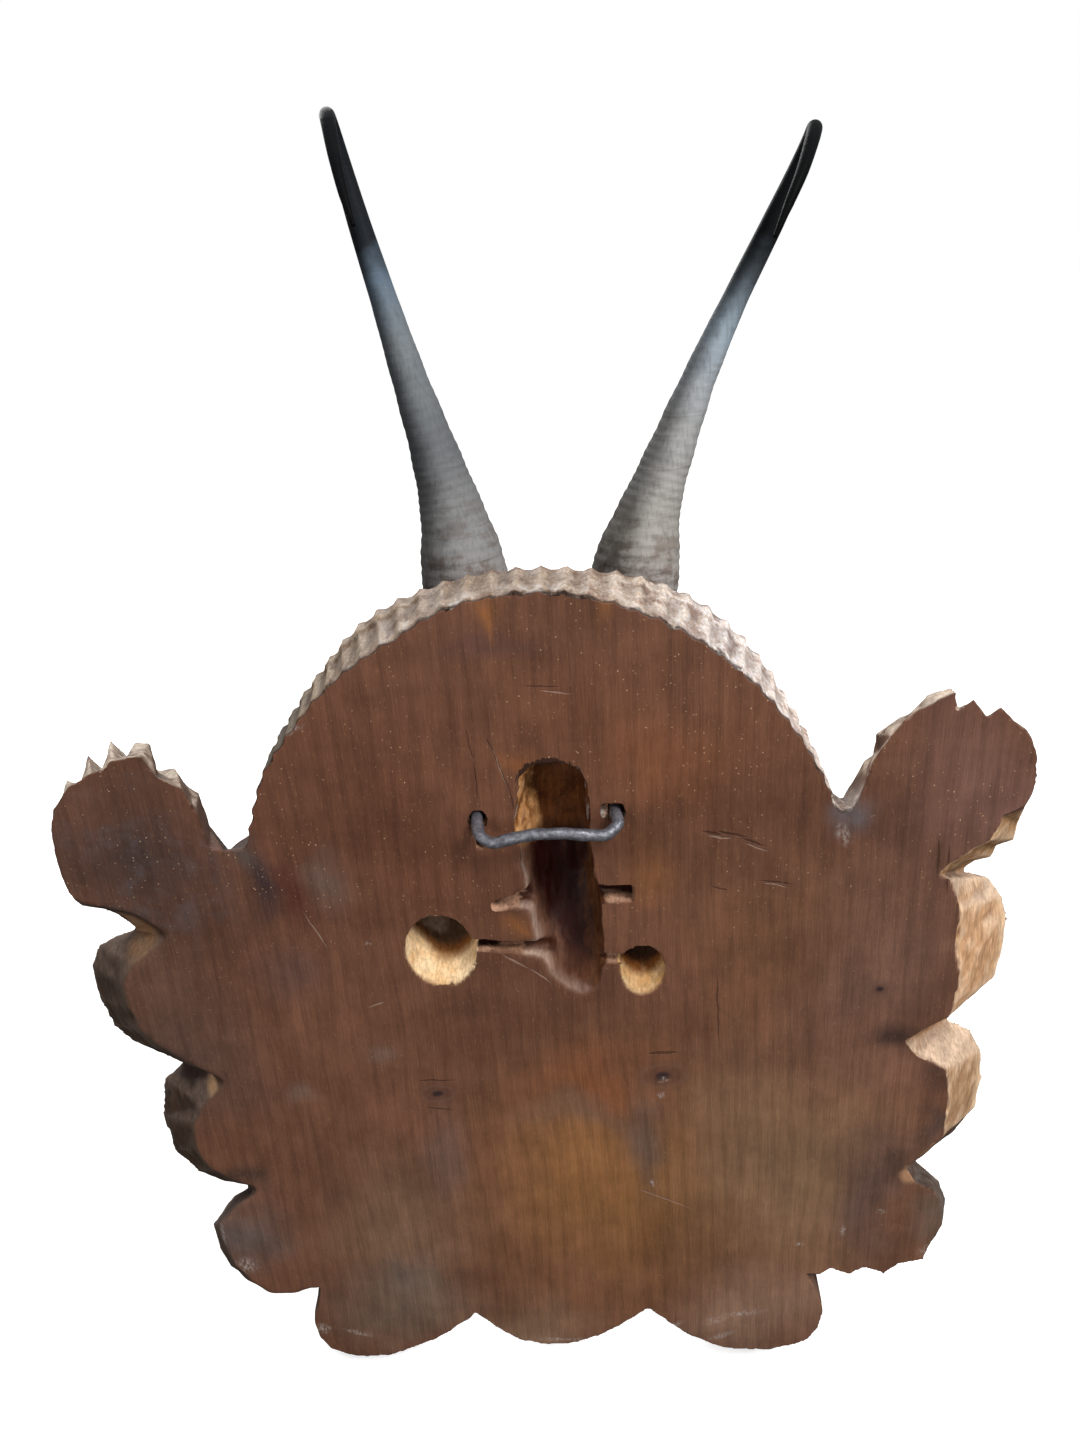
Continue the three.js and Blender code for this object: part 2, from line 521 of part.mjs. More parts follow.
// Wire staple: two legs in the wood and a crown that stands off the back
const STAPLE_STEPS = 30;
const STAPLE_SIDES = 8;
const STAPLE_CORNER = 6;
function staple() {
  const { x, z } = STAPLE_CENTRE;
  const corner = STAPLE_CORNER;
  const out = STAPLE_STANDOFF;
  const half = STAPLE_HALF_SPAN;
  const points = [
    [half, -STAPLE_LEG_DEPTH, 0], [half, 0, 0], [half - 0.3, out - corner, -0.6],
    [half - 2.5, out - 1.4, -1.5], [half - 8, out, -1.8], [6, out, 0.2], [-8, out, 0],
    [7.5 - half, out, -0.4], [2 - half, out - 1.2, 0.4],
    [-half - 0.2, out - corner, 1], [-half, 0, 0], [-half, -STAPLE_LEG_DEPTH, 0],
  ].map(([px, py, pz]) => new THREE.Vector3(x + px, py, z + pz));
  const path = new THREE.CatmullRomCurve3(points, false, 'centripetal');
  const rings = [];
  for (let step = 0; step <= STAPLE_STEPS; step += 1) {
    const place = path.getPointAt(step / STAPLE_STEPS);
    const along = path.getTangentAt(step / STAPLE_STEPS);
    const upward = new THREE.Vector3(0, 0, 1).addScaledVector(along, -along.z).normalize();
    const sideways = new THREE.Vector3().crossVectors(along, upward);
    const ring = [];
    for (let i = 0; i < STAPLE_SIDES; i += 1) {
      const angle = 2 * Math.PI * i / STAPLE_SIDES;
      ring.push(place.clone().addScaledVector(upward, WIRE_RADIUS * Math.cos(angle))
        .addScaledVector(sideways, WIRE_RADIUS * Math.sin(angle)));
    }
    rings.push(ring);
  }
  return skin(rings, capAsFan);
}

function named(name, manifold, material) {
  const mesh = new THREE.Mesh(geometryOf(manifold), material);
  mesh.name = name;
  return mesh;
}

const trophy = new THREE.Group();
trophy.add(named('plaque', plaque(), wood()));
trophy.add(named('skull_cap', skullCap(), bone()));
for (const [name, spec] of Object.entries(HORNS)) trophy.add(named(name, hornSheath(spec), horn()));
trophy.add(named('hanger_staple', staple(), iron()));
['screw_upper', 'screw_lower'].forEach((name, i) => {
  trophy.add(named(name, screw(SCREW_PLACES[i]), iron()));
});

export default trophy;
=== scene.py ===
"""Chamois horn trophy seen from behind: the carved plaque, its wire staple, the skull cap and the horns."""
import itertools
import math

import bmesh
import bpy
import numpy as np
from mathutils import Matrix, Vector
from mathutils.bvhtree import BVHTree


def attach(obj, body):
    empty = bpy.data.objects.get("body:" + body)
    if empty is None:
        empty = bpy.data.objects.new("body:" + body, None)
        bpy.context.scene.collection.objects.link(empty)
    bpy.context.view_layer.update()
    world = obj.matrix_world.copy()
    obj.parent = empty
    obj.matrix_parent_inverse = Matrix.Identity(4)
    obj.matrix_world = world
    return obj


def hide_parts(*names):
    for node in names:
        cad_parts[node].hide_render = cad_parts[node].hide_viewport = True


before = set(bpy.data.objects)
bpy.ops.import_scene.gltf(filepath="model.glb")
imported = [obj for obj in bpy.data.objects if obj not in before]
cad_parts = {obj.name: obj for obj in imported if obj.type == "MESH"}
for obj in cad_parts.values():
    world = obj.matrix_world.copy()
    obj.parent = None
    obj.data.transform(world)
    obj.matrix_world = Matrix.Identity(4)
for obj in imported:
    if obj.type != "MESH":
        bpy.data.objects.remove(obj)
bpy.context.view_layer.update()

MM = 0.001

# Plaque, in millimetres in the frame of the part
PLAQUE_VOXEL = 1.0
PLAQUE_TRIANGLES = 150000
# The planed back: its longest edge, the passes that break up longer ones, and the least normal.y of its faces
BACK_EDGE = 5.0
BACK_PASSES = 7
BACK_FACING = 0.9995
WORN_ROUNDS = 34
SUNK_ROUNDS = 8
MERGE_WITHIN = 1e-5
WING_DEPTH = 24
# Left and right bore: a point on the axis, its direction and the radius
BORES = (((43.5, 7.0, 65.5), (0.04, -1.0, 0.68), 13.6), ((-31.8, 7.0, 53.0), (-0.04, -1.0, 0.9), 8.6))
POCKET_MIDDLE_X = -3.0
# Frayed wood round the top of the pocket: centre x and z, half width and half height
FRAYED_PLACE = (-1.5, 139.0, 15.1, 14.1)
# Slots worn beside the legs of the staple: lowest and highest corner
SLOTS = (((23.4, -5.5, 114.8), (27.2, 4.0, 128.5)), ((-26.8, -5.0, 126.5), (-19.8, 4.0, 131.4)))

# Stains on the back of the plaque: centre x and z, half width, half height, colour and share
# The dark rows beside the notches of the right lobes, at (-128, 24) and (-134, -42), are painted shade.
STAINS = (
    (-15, -55, 85, 100, (0.2, 0.09, 0.033), 0.9), (-20, 150, 80, 60, (0.12, 0.048, 0.026), 0.8),
    (80, -85, 60, 75, (0.155, 0.088, 0.054), 0.8), (-88, -50, 72, 105, (0.2, 0.115, 0.064), 0.88),
    (-75, -132, 55, 30, (0.2, 0.118, 0.08), 0.8), (85, -128, 50, 34, (0.16, 0.107, 0.076), 0.85),
    (-125, 60, 50, 85, (0.15, 0.078, 0.054), 0.8), (-150, 132, 48, 55, (0.14, 0.07, 0.053), 0.95),
    (152, 112, 60, 62, (0.052, 0.029, 0.024), 0.95), (150, 35, 50, 60, (0.088, 0.05, 0.038), 0.7),
    (150, -80, 32, 40, (0.085, 0.066, 0.06), 0.85), (-122, -62, 26, 60, (0.105, 0.06, 0.05), 0.8),
    (-75, 70, 50, 60, (0.165, 0.077, 0.038), 0.5), (62, 125, 66, 80, (0.095, 0.036, 0.02), 0.85),
    (20, -140, 55, 26, (0.205, 0.122, 0.075), 0.85), (14, 187, 30, 9, (0.085, 0.04, 0.034), 0.7),
    (97, 99, 13, 20, (0.08, 0.024, 0.018), 0.8), (108, 105, 9, 26, (0.032, 0.022, 0.024), 0.85),
    (82, 103, 12, 20, (0.1, 0.075, 0.064), 0.6), (98, 70, 22, 24, (0.09, 0.048, 0.04), 0.7),
    (14, 81, 10, 7, (0.27, 0.1, 0.03), 0.7), (8, 150, 12, 6, (0.25, 0.09, 0.03), 0.6),
    (-32, 104, 22, 26, (0.2, 0.08, 0.03), 0.6), (-40, 150, 24, 26, (0.2, 0.075, 0.032), 0.5),
    (-10, 2, 38, 24, (0.2, 0.068, 0.03), 0.65), (-32, -28, 11, 46, (0.105, 0.07, 0.054), 0.75),
    (-6, -12, 40, 14, (0.11, 0.07, 0.052), 0.5), (109, 2, 10, 8, (0.155, 0.112, 0.09), 0.5),
    (73, 22, 10, 7, (0.17, 0.125, 0.1), 0.5), (81, -108, 24, 20, (0.12, 0.092, 0.078), 0.6),
    (52, -32, 14, 40, (0.115, 0.072, 0.06), 0.6), (-128, 24, 17, 9, (0.03, 0.018, 0.017), 0.9),
    (-147, 6, 12, 14, (0.05, 0.026, 0.02), 0.7), (-146, -22, 8, 22, (0.055, 0.036, 0.032), 0.8),
    (-134, -42, 10, 14, (0.05, 0.026, 0.018), 0.7), (-152, -70, 17, 30, (0.105, 0.074, 0.055), 0.8),
    (140, -42, 16, 9, (0.04, 0.026, 0.02), 0.7), (16, 203, 4, 11, (0.26, 0.1, 0.03), 0.7),
    (-25, 207, 6, 12, (0.25, 0.1, 0.035), 0.7), (-107, 124, 9, 14, (0.12, 0.115, 0.125), 0.7),
    (113, 116, 8, 12, (0.075, 0.062, 0.056), 0.7),
)
# Light patches of lime and wear on the back: centre x and z, half width, half height and tilt in degrees
CHIPS = (
    (85, 165, 5.5, 1.6, 30), (-73, -130, 13, 2.6, 8), (-60, -135, 8, 3, 20), (-63, -145, 9, 2.4, 25),
    (-42, -138, 6, 2, 40), (-129, -68, 3, 2, 0), (-96, -87, 3, 1.6, 0), (-114, -79, 1.8, 4, 0),
    (-158, -66, 6, 15, 10), (-151, -92, 7, 6, 0), (120, -139, 5, 5, 0), (149, -97, 8, 7, 30),
    (157, -77, 3, 12, 0), (71, 75, 1.8, 1.2, 0), (11, -147, 18, 1.6, 0), (104, -142, 9, 2, -20),
    (-153, -52, 3, 9, 20), (-104, 116, 3.5, 7, 20), (-39, 6, 3.2, 2.0, 20), (-38, -2, 2.4, 3.4, -30),
    (-34, -50, 1.8, 3.0, 0),
)
# Scratches on the back, from one end to the other, with half their width
DARK_SCRATCHES = (
    (19, 159, 17, 153, 0.45), (17.2, 153.5, 14.6, 146, 0.5), (14.8, 147, 12.2, 137, 0.5),
    (12.4, 138, 11.6, 130, 0.4), (26, 164, 24, 150, 0.3), (24.2, 151, 23.6, 134, 0.3),
    (-54, 119, -62, 117.5, 0.6), (-60, 119, -71, 116, 0.7), (-68, 116, -77, 112, 0.6),
    (-75, 98, -87, 96, 0.5), (-137, 114, -138, 96, 0.6), (-141, 112, -142, 88, 0.6),
    (-145, 104, -146, 90, 0.5), (-148, 98, -149, 86, 0.5), (6, 178, -8, 176.5, 0.4),
    (-58, 96, -64, 94, 0.5), (-45, 20, -33, 19, 1.0), (60, 8, 44, 8, 0.6), (58, -6, 46, -8, 0.5),
    (-60, 60, -61, 20, 0.35),
)
LIGHT_SCRATCHES = (
    (21, 69, 10, 61.5, 0.5), (10.5, 62, 2, 54.5, 0.5), (75, 45, 68, 48, 0.5), (-56, 117.6, -66, 116, 0.5),
    (-76, 97, -86, 95, 0.4), (-70, 113.6, -78, 110, 0.5), (0, 176, -12, 174, 0.4), (94, 92, 86, 72, 0.4),
    (-25, -52, -52, -66, 0.4), (18, 158, 12.5, 138, 0.25),
)

# Knots in the board: centre x and z, and size
KNOTS = ((52.0, 1.0, 9.0), (-39.0, 8.0, 12.0), (-121.0, 48.0, 6.0))
RING_SPACING = 6.4
# Colours of what marks the stained wood
KNOT_SHADE = (0.055, 0.027, 0.022)
KNOT_HEART = (0.02, 0.013, 0.015)
KNOT_RIPPLE = (0.17, 0.1, 0.07)
GOLDEN_DASH = (0.3, 0.155, 0.075)
BLOOM = (0.095, 0.085, 0.09)
LIME = (0.36, 0.3, 0.27)
FRESH_CHIP = (0.37, 0.2, 0.11)
GOLD_DUST = (0.52, 0.36, 0.2)
DARK_CUT = (0.04, 0.018, 0.012)
LIGHT_CUT = (0.3, 0.2, 0.15)
FRAYED = (0.02, 0.01, 0.007)
# painted shade line where the dome's side meets the back
DOME_EDGE_SHADE = (0.03, 0.018, 0.014)
DOME_GOLD = (0.74, 0.58, 0.42)
DOME_DARK = (0.5, 0.4, 0.36)
DOME_PALE = (0.62, 0.58, 0.55)

# Leaves on the front, as in the part: root, tip and half width
LEAVES = (
    ((122, 84), (172, 128), 16), ((-104, 92), (-152, 136), 18), ((92, 52), (188, 38), 24),
    ((-80, 60), (-168, 52), 23), ((86, -12), (174, -42), 23), ((-78, -4), (-166, -24), 23),
    ((80, -62), (156, -112), 20), ((-76, -56), (-150, -96), 20), ((52, -84), (102, -160), 22),
    ((-38, -80), (-84, -155), 22), ((7, -66), (10, -152), 24),
)
VEIN_SPACING = 9.5
VEIN_DEPTH = 0.9
VEIN_SLANT = 0.75

# Camera at the photograph's viewing angle
VIEW_CENTRE = (0.0, 0.0, 0.165)
VIEW_AZIMUTH = math.radians(184)
VIEW_ELEVATION = math.radians(24)
VIEW_ROLL = math.radians(4)
VIEW_DISTANCE = 0.36
VIEW_LENS = 26.5
SENSOR_HEIGHT = 36
CLIP_START = 0.01


def placed(name, data):
    obj = bpy.data.objects.new(name, data)
    bpy.context.scene.collection.objects.link(obj)
    return obj


def object_from(name, points, faces):
    mesh = bpy.data.meshes.new(name)
    mesh.from_pydata([tuple(p) for p in np.asarray(points) * MM], [], faces)
    mesh.update()
    return placed(name, mesh)


def surface_of(mesh):
    """The place in millimetres and the normal of each vertex."""
    points = np.empty(len(mesh.vertices) * 3, np.float64)
    mesh.vertices.foreach_get("co", points)
    normals = np.empty(len(mesh.vertices) * 3, np.float32)
    mesh.vertex_normals.foreach_get("vector", normals)
    return points.reshape(-1, 3) / MM, normals.reshape(-1, 3).astype(np.float64)


def move_points(mesh, points):
    mesh.vertices.foreach_set("co", (points * MM).astype(np.float32).ravel())
    mesh.update()


def modified(obj, kind, **settings):
    """The object with a modifier of this kind worked into its mesh."""
    modifier = obj.modifiers.new(kind.lower(), kind)
    for name, value in settings.items():
        setattr(modifier, name, value)
    bpy.context.view_layer.update()
    shown = obj.evaluated_get(bpy.context.evaluated_depsgraph_get())
    mesh = bpy.data.meshes.new_from_object(shown)
    obj.modifiers.clear()
    obj.data = mesh
    return obj


def set_material(obj, material):
    obj.data.materials.clear()
    obj.data.materials.append(material)


def smooth_shaded(obj):
    obj.data.polygons.foreach_set("use_smooth", [True] * len(obj.data.polygons))
    obj.data.update()
    return obj


def boxed(low, high):
    corners = list(itertools.product(*zip(low, high)))
    faces = [(0, 1, 3, 2), (4, 6, 7, 5), (0, 4, 5, 1), (2, 3, 7, 6), (0, 2, 6, 4), (1, 5, 7, 3)]
    return object_from("slot", corners, faces)


def remeshed(node, name, voxel, slots=()):
    """A fine, even mesh on the surface of a CAD node, with these boxes cut out of it."""
    source = bmesh.new()
    source.from_mesh(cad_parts[node].data)
    bmesh.ops.remove_doubles(source, verts=source.verts, dist=MERGE_WITHIN)
    mesh = bpy.data.meshes.new(name)
    source.to_mesh(mesh)
    source.free()
    obj = placed(name, mesh)
    for low, high in slots:
        cutter = boxed(low, high)
        modified(obj, "BOOLEAN", object=cutter, solver="EXACT")
        bpy.data.objects.remove(cutter)
    source = bmesh.new()
    source.from_mesh(obj.data)
    tree = BVHTree.FromBMesh(source)
    source.free()
    modified(obj, "REMESH", mode="VOXEL", voxel_size=voxel * MM)
    snapped = np.array([tree.find_nearest(v.co)[0] for v in obj.data.vertices], float)
    move_points(obj.data, snapped / MM)
    return smooth_shaded(obj)


# Large odd numbers that scatter the noise's cells
HASH_STEPS = np.array((374761393, 668265263, 1103515245))
HASH_SEED = 974711
HASH_MIX = 1274126177
HASH_MASK = 0x7FFFFFFF


def value_noise(points, size, seed):
    """Smooth noise from -1 to 1, with features of about this size in millimetres."""
    q = points / np.asarray(size, float)
    cell = np.floor(q).astype(np.int64)
    f = q - cell
    f = f * f * (3 - 2 * f)
    total = np.zeros(len(points))
    for corner in range(8):
        step = np.array([corner & 1, corner >> 1 & 1, corner >> 2 & 1])
        c = cell + step
        h = (c @ HASH_STEPS + seed * HASH_SEED) & HASH_MASK
        h = ((h ^ (h >> 13)) * HASH_MIX) & HASH_MASK
        level = ((h ^ (h >> 16)) & 0xFFFF) / 32767.5 - 1
        weight = np.prod(np.where(step == 1, f, 1 - f), axis=1)
        total += level * weight
    return total


def layered(points, *layers):
    """Noise of several sizes added up: the size in millimetres, the seed and the weight of each."""
    return sum(value_noise(points, size, seed) * weight for size, seed, weight in layers)


def varied(colour, change):
    """A colour for each point, made lighter or darker by these shares."""
    return np.array(colour) * (1 + change)[:, None]


def ease(value, low, high, least=0.0):
    """From least at low to 1 at high, with soft ends."""
    t = np.clip((value - low) / (high - low), 0, 1)
    return least + (1 - least) * t * t * (3 - 2 * t)


def attribute(mesh, name, values):
    """One number or one colour for each vertex."""
    values = np.asarray(values, np.float32)
    kind, field = ("FLOAT", "value") if values.ndim == 1 else ("FLOAT_VECTOR", "vector")
    mesh.attributes.new(name, kind, "POINT").data.foreach_set(field, values.ravel())


# How far a spot reaches along Y, so that it has no ends there
ALL_DEPTHS = 1e5


class Nodes:
    """Short calls for building a material's node tree."""

    def __init__(self, name):
        self.material = bpy.data.materials.new(name)
        self.material.use_nodes = True
        self.tree = self.material.node_tree
        self.tree.nodes.clear()
        self.shader = self.tree.nodes.new("ShaderNodeBsdfPrincipled")
        self.node("OutputMaterial", {0: self.shader.outputs[0]})
        self.place = self.scaled(self.node("TexCoord", {})["Object"], (1 / MM,) * 3)
        self.x, self.y, self.z = self.node("SeparateXYZ", {0: self.place})

    def put(self, socket, value):
        if isinstance(value, bpy.types.NodeSocket):
            self.tree.links.new(value, socket)
        elif isinstance(value, (tuple, list)) and len(value) == 3 and socket.type == "RGBA":
            socket.default_value = (*value, 1)
        else:
            socket.default_value = value

    def node(self, kind, inputs, **settings):
        """The outputs of a new node with these settings and these inputs, by name or number."""
        node = self.tree.nodes.new("ShaderNode" + kind)
        for name, value in settings.items():
            setattr(node, name, value)
        for key, value in inputs.items():
            self.put(node.inputs[key], value)
        return node.outputs

    def math(self, operation, a, b=0.0):
        return self.node("Math", {0: a, 1: b}, operation=operation)[0]

    def add(self, a, b):
        return self.math("ADD", a, b)

    def mul(self, a, b):
        return self.math("MULTIPLY", a, b)

    def scaled(self, vector, factors):
        return self.node("VectorMath", {0: vector, 1: factors}, operation="MULTIPLY")[0]

    def noise(self, vector, scale, detail, rough, output="Fac"):
        inputs = {"Vector": vector, "Scale": scale, "Detail": detail, "Roughness": rough}
        return self.node("TexNoise", inputs)[output]

    def speckle(self, factors, detail, rough=0.5):
        """Noise whose features measure about 1 / factor millimetres along each axis."""
        return self.noise(self.scaled(self.place, factors), 1.0, detail, rough)

    def cells(self, vector, scale):
        return self.node("TexVoronoi", {"Vector": vector, "Scale": scale})["Distance"]

    def band(self, value, low, high, out_low=0.0, out_high=1.0):
        """Eased from out_low at low to out_high at high."""
        inputs = {0: value, 1: low, 2: high, 3: out_low, 4: out_high}
        return self.node("MapRange", inputs, interpolation_type="SMOOTHSTEP")[0]

    def mix(self, share, a, b, way="MIX"):
        inputs = {0: share, 6: a, 7: b}
        return self.node("Mix", inputs, data_type="RGBA", blend_type=way, clamp_factor=True)[2]

    def ramp(self, value, stops):
        colour = self.node("ValToRGB", {0: value})[0]
        elements = colour.node.color_ramp.elements
        while len(elements) < len(stops):
            elements.new(0.5)
        for element, (position, tone) in zip(elements, stops):
            element.position = position
            element.color = (*tone, 1)
        return colour

    def layer(self, name, output="Fac"):
        return self.node("Attribute", {}, attribute_name=name)[output]

    def warped(self, vector, scale, amount):
        """The vector pushed about by noise, by at most about half this many millimetres."""
        cloud = self.noise(vector, scale, 4.0, 0.65, "Color")
        centred = self.node("VectorMath", {0: cloud, 1: (0.5, 0.5, 0.5)}, operation="SUBTRACT")[0]
        return self.node("VectorMath", {0: centred, 1: (amount,) * 3, 2: vector}, operation="MULTIPLY_ADD")[0]

    def spot(self, vector, x, z, half_x, half_z, tilt=0.0, core=0.0):
        """1 inside the core of an ellipse seen along Y, and 0 from its edge on."""
        inputs = {"Vector": vector, "Location": (x, 0, z), "Rotation": (0, tilt, 0),
                  "Scale": (half_x, ALL_DEPTHS, half_z)}
        inside = self.node("Mapping", inputs, vector_type="TEXTURE")[0]
        away = self.node("VectorMath", {0: inside}, operation="LENGTH")["Value"]
        return self.band(away, core, 1.0, 1.0, 0.0)

    def scratch(self, vector, x0, z0, x1, z1, half_width):
        half_length = math.hypot(x1 - x0, z1 - z0) / 2 + half_width
        tilt = math.atan2(z0 - z1, x1 - x0)
        return self.spot(vector, (x0 + x1) / 2, (z0 + z1) / 2, half_length, half_width, tilt, 0.5)

    def together(self, masks):
        total = 0.0
        for mask in masks:
            total = self.math("MAXIMUM", mask, total)
        return total

    def bump(self, height, distance, strength, under=None):
        inputs = {"Strength": strength, "Distance": distance * MM, "Height": height}
        if under is not None:
            inputs["Normal"] = under
        return self.node("Bump", inputs)[0]

    def finish(self, **inputs):
        """The material with these inputs of its shader."""
        for name, value in inputs.items():
            self.put(self.shader.inputs[name.replace("_", " ")], value)
        return self.material


def wood_material():
    n = Nodes("carved_wood")
    back = n.band(n.y, -1.6, -0.3)
    ragged = n.warped(n.place, 0.35, 3.0)
    unsteady = n.warped(n.place, 0.12, 2.2)
    stain = n.layer("stain", "Color")

    # growth rings and fibres, which run up the board
    sweep = n.speckle((0.012, 0.012, 0.004), 2.0)
    warp = n.speckle((0.05, 0.05, 0.012), 3.0)
    across = n.add(n.x, n.add(n.mul(sweep, 34.0), n.mul(warp, 6.0)))
    ring = n.band(n.math("SINE", n.mul(across, 2 * math.pi / RING_SPACING)), 0.2, 1.0)
    fibre = n.speckle((1.5, 1.5, 0.04), 4.0, 0.65)
    hair = n.speckle((3.6, 3.6, 0.1), 2.0, 0.6)
    streak = n.speckle((0.22, 0.22, 0.01), 3.0, 0.55)
    grain = n.add(n.band(fibre, 0.3, 0.7, 0.88, 1.1), n.band(hair, 0.3, 0.7, -0.09, 0.09))
    grain = n.mul(grain, n.band(streak, 0.3, 0.7, 0.92, 1.08))
    grain = n.mul(grain, n.band(ring, 0.0, 1.0, 1.03, 0.93))
    blotch = n.speckle((0.07, 0.07, 0.05), 5.0, 0.7)
    grain = n.mul(grain, n.band(blotch, 0.3, 0.7, 0.86, 1.14))
    stain = n.mix(1.0, stain, grain, "MULTIPLY")
    dashes = n.speckle((1.5, 1.5, 0.3), 3.0, 0.7)
    stain = n.mix(n.mul(n.band(dashes, 0.58, 0.7), 0.3), stain, GOLDEN_DASH)

    # knots, with the rings that bend round them
    for x, z, size in KNOTS:
        stain = n.mix(n.mul(n.spot(unsteady, x, z, size * 1.2, size), 0.5), stain, KNOT_SHADE)
        heart = n.spot(unsteady, x, z, size * 0.36, size * 0.24, 0.2, 0.3)
        stain = n.mix(n.mul(heart, 0.85), stain, KNOT_HEART)
        ripple = n.math("SUBTRACT", n.spot(unsteady, x, z, size * 0.95, size * 0.6, 0.1, 0.72),
                        n.spot(unsteady, x, z, size * 0.78, size * 0.48, 0.1, 0.72))
        stain = n.mix(n.mul(ripple, 0.22), stain, KNOT_RIPPLE)

    # blue-grey bloom on the left wing, and lime and wear in small patches
    bloom = n.speckle((0.06, 0.06, 0.06), 5.0, 0.7)
    bloom = n.mul(n.spot(n.place, 150.0, 112.0, 62.0, 62.0), n.band(bloom, 0.46, 0.66))
    stain = n.mix(n.mul(bloom, n.mul(back, 0.42)), stain, BLOOM)
    crumbs = n.band(n.speckle((0.7, 0.7, 0.4), 4.0, 0.7), 0.42, 0.6)
    chips = n.together(n.spot(ragged, x, z, half_x, half_z, math.radians(tilt))
                       for x, z, half_x, half_z, tilt in CHIPS)
    stain = n.mix(n.mul(n.mul(chips, crumbs), n.mul(back, 0.75)), stain, LIME)

    # a fresh chip on the rim of the third lobe
    fresh = n.mul(n.spot(ragged, -140.5, -47.0, 7.0, 6.0, 0.6, 0.45), back)
    stain = n.mix(n.mul(fresh, 0.9), stain, FRESH_CHIP)

    # specks of gold dust and lime
    specks = n.cells(n.place, 0.5)
    rare = n.band(n.speckle((0.025, 0.025, 0.025), 4.0), 0.38, 0.58)
    high_up = n.band(n.z, 20.0, 130.0, 0.25, 1.0)
    specks = n.mul(n.band(specks, 0.17, 0.08), n.mul(n.mul(rare, high_up), n.band(crumbs, 0.2, 1.0)))
    stain = n.mix(n.mul(specks, 0.8), stain, GOLD_DUST)

    # scratches, and the frayed fibres over the pocket
    dark_cuts = n.mul(n.together(n.scratch(unsteady, *line) for line in DARK_SCRATCHES), back)
    light_cuts = n.mul(n.together(n.scratch(unsteady, *line) for line in LIGHT_SCRATCHES), back)
    stain = n.mix(n.mul(dark_cuts, 0.6), stain, DARK_CUT)
    stain = n.mix(n.mul(light_cuts, 0.6), stain, LIGHT_CUT)
    nicks = n.speckle((0.75, 0.2, 0.09), 2.0, 0.5)
    reach = n.spot(ragged, *FRAYED_PLACE, 0.0, 0.62)
    frayed = n.mul(n.mul(n.band(n.add(reach, nicks), 0.92, 1.02), n.band(n.z, 140.0, 145.0)), back)
    stain = n.mix(n.mul(frayed, 0.9), stain, FRAYED)

    # what lies bare or was laid on in the cuts and on the sides, with the shade and light painted there
    bare = n.speckle((1.0, 0.5, 0.16), 4.0, 0.65)
    bare = n.add(n.band(bare, 0.3, 0.7, 0.74, 1.22), n.band(hair, 0.3, 0.7, -0.09, 0.09))
    laid = n.mix(1.0, n.layer("coat", "Color"), bare, "MULTIPLY")
    colour = n.mix(1.0, n.mix(n.layer("cover"), stain, (0.0, 0.0, 0.0)), laid, "ADD")

    # the painted shade line where the dome's side meets the back
    edge = n.add(n.y, n.mul(n.add(crumbs, -0.5), 1.2))
    line = n.mul(n.band(edge, -2.2, -1.0), n.mul(n.band(n.y, -0.05, -0.35), n.band(n.z, 118.0, 126.0)))
    aside = n.band(n.math("ABSOLUTE", n.x), 111.0, 105.0)
    colour = n.mix(n.mul(n.mul(line, aside), 0.75), colour, DOME_EDGE_SHADE)

    # golden grain, dark patches and pale ones on the dome's side
    rim = n.mul(n.mul(n.band(n.z, 116.0, 122.0), aside), n.mul(n.layer("cover"), n.band(n.y, -0.05, -0.35)))
    gold = n.speckle((0.9, 0.5, 0.9), 4.0, 0.75)
    colour = n.mix(n.mul(n.mul(n.band(gold, 0.42, 0.6), rim), 0.7), colour, DOME_GOLD, "MULTIPLY")
    patch = n.speckle((0.16, 0.12, 0.16), 3.0, 0.6)
    colour = n.mix(n.mul(n.mul(n.band(patch, 0.5, 0.64), rim), 0.8), colour, DOME_DARK, "MULTIPLY")
    pale = n.mul(n.band(patch, 0.46, 0.36), n.band(n.x, 70.0, 30.0))
    pale = n.mul(pale, n.mul(rim, n.band(n.y, -14.0, -4.0)))
    colour = n.mix(n.mul(pale, 0.45), colour, DOME_PALE)

    rough = n.band(n.speckle((0.08, 0.08, 0.05), 4.0), 0.3, 0.7, 0.46, 0.64)
    rough = n.add(rough, n.mul(n.layer("raw"), 0.3))
    ripple = n.speckle((0.05, 0.05, 0.12), 2.0)
    normal = n.bump(ripple, 0.9, 0.4)
    normal = n.bump(n.add(fibre, n.mul(ring, -0.3)), 0.3, 0.5, normal)
    pits = n.speckle((0.9, 0.9, 0.5), 3.0, 0.7)
    normal = n.bump(pits, 0.3, 0.35, normal)
    fuzz = n.speckle((1.3, 0.6, 0.35), 4.0, 0.7)
    normal = n.bump(n.mul(fuzz, n.layer("raw")), 0.9, 0.8, normal)
    normal = n.bump(n.mul(n.add(dark_cuts, light_cuts), -1.0), 0.35, 0.7, normal)
    return n.finish(Base_Color=colour, Roughness=rough, Normal=normal, Specular_IOR_Level=0.11)


def plaque_cuts(points):
    """Which points lie in the left bore, in the right bore and in the pocket with its kerfs."""
    x, y, z = points.T
    bores = []
    for point, direction, radius in BORES:
        direction = direction / np.linalg.norm(direction)
        off = points - np.array(point)
        along = off @ direction
        away = np.linalg.norm(off - along[:, None] * direction, axis=1)
        bores.append((away < radius + 0.6) & (y > -24))
    inside = (np.abs(x - POCKET_MIDDLE_X) < 40) & (z > 40) & (z < 152) & (y > -22)
    return *bores, inside & ~bores[0] & ~bores[1]


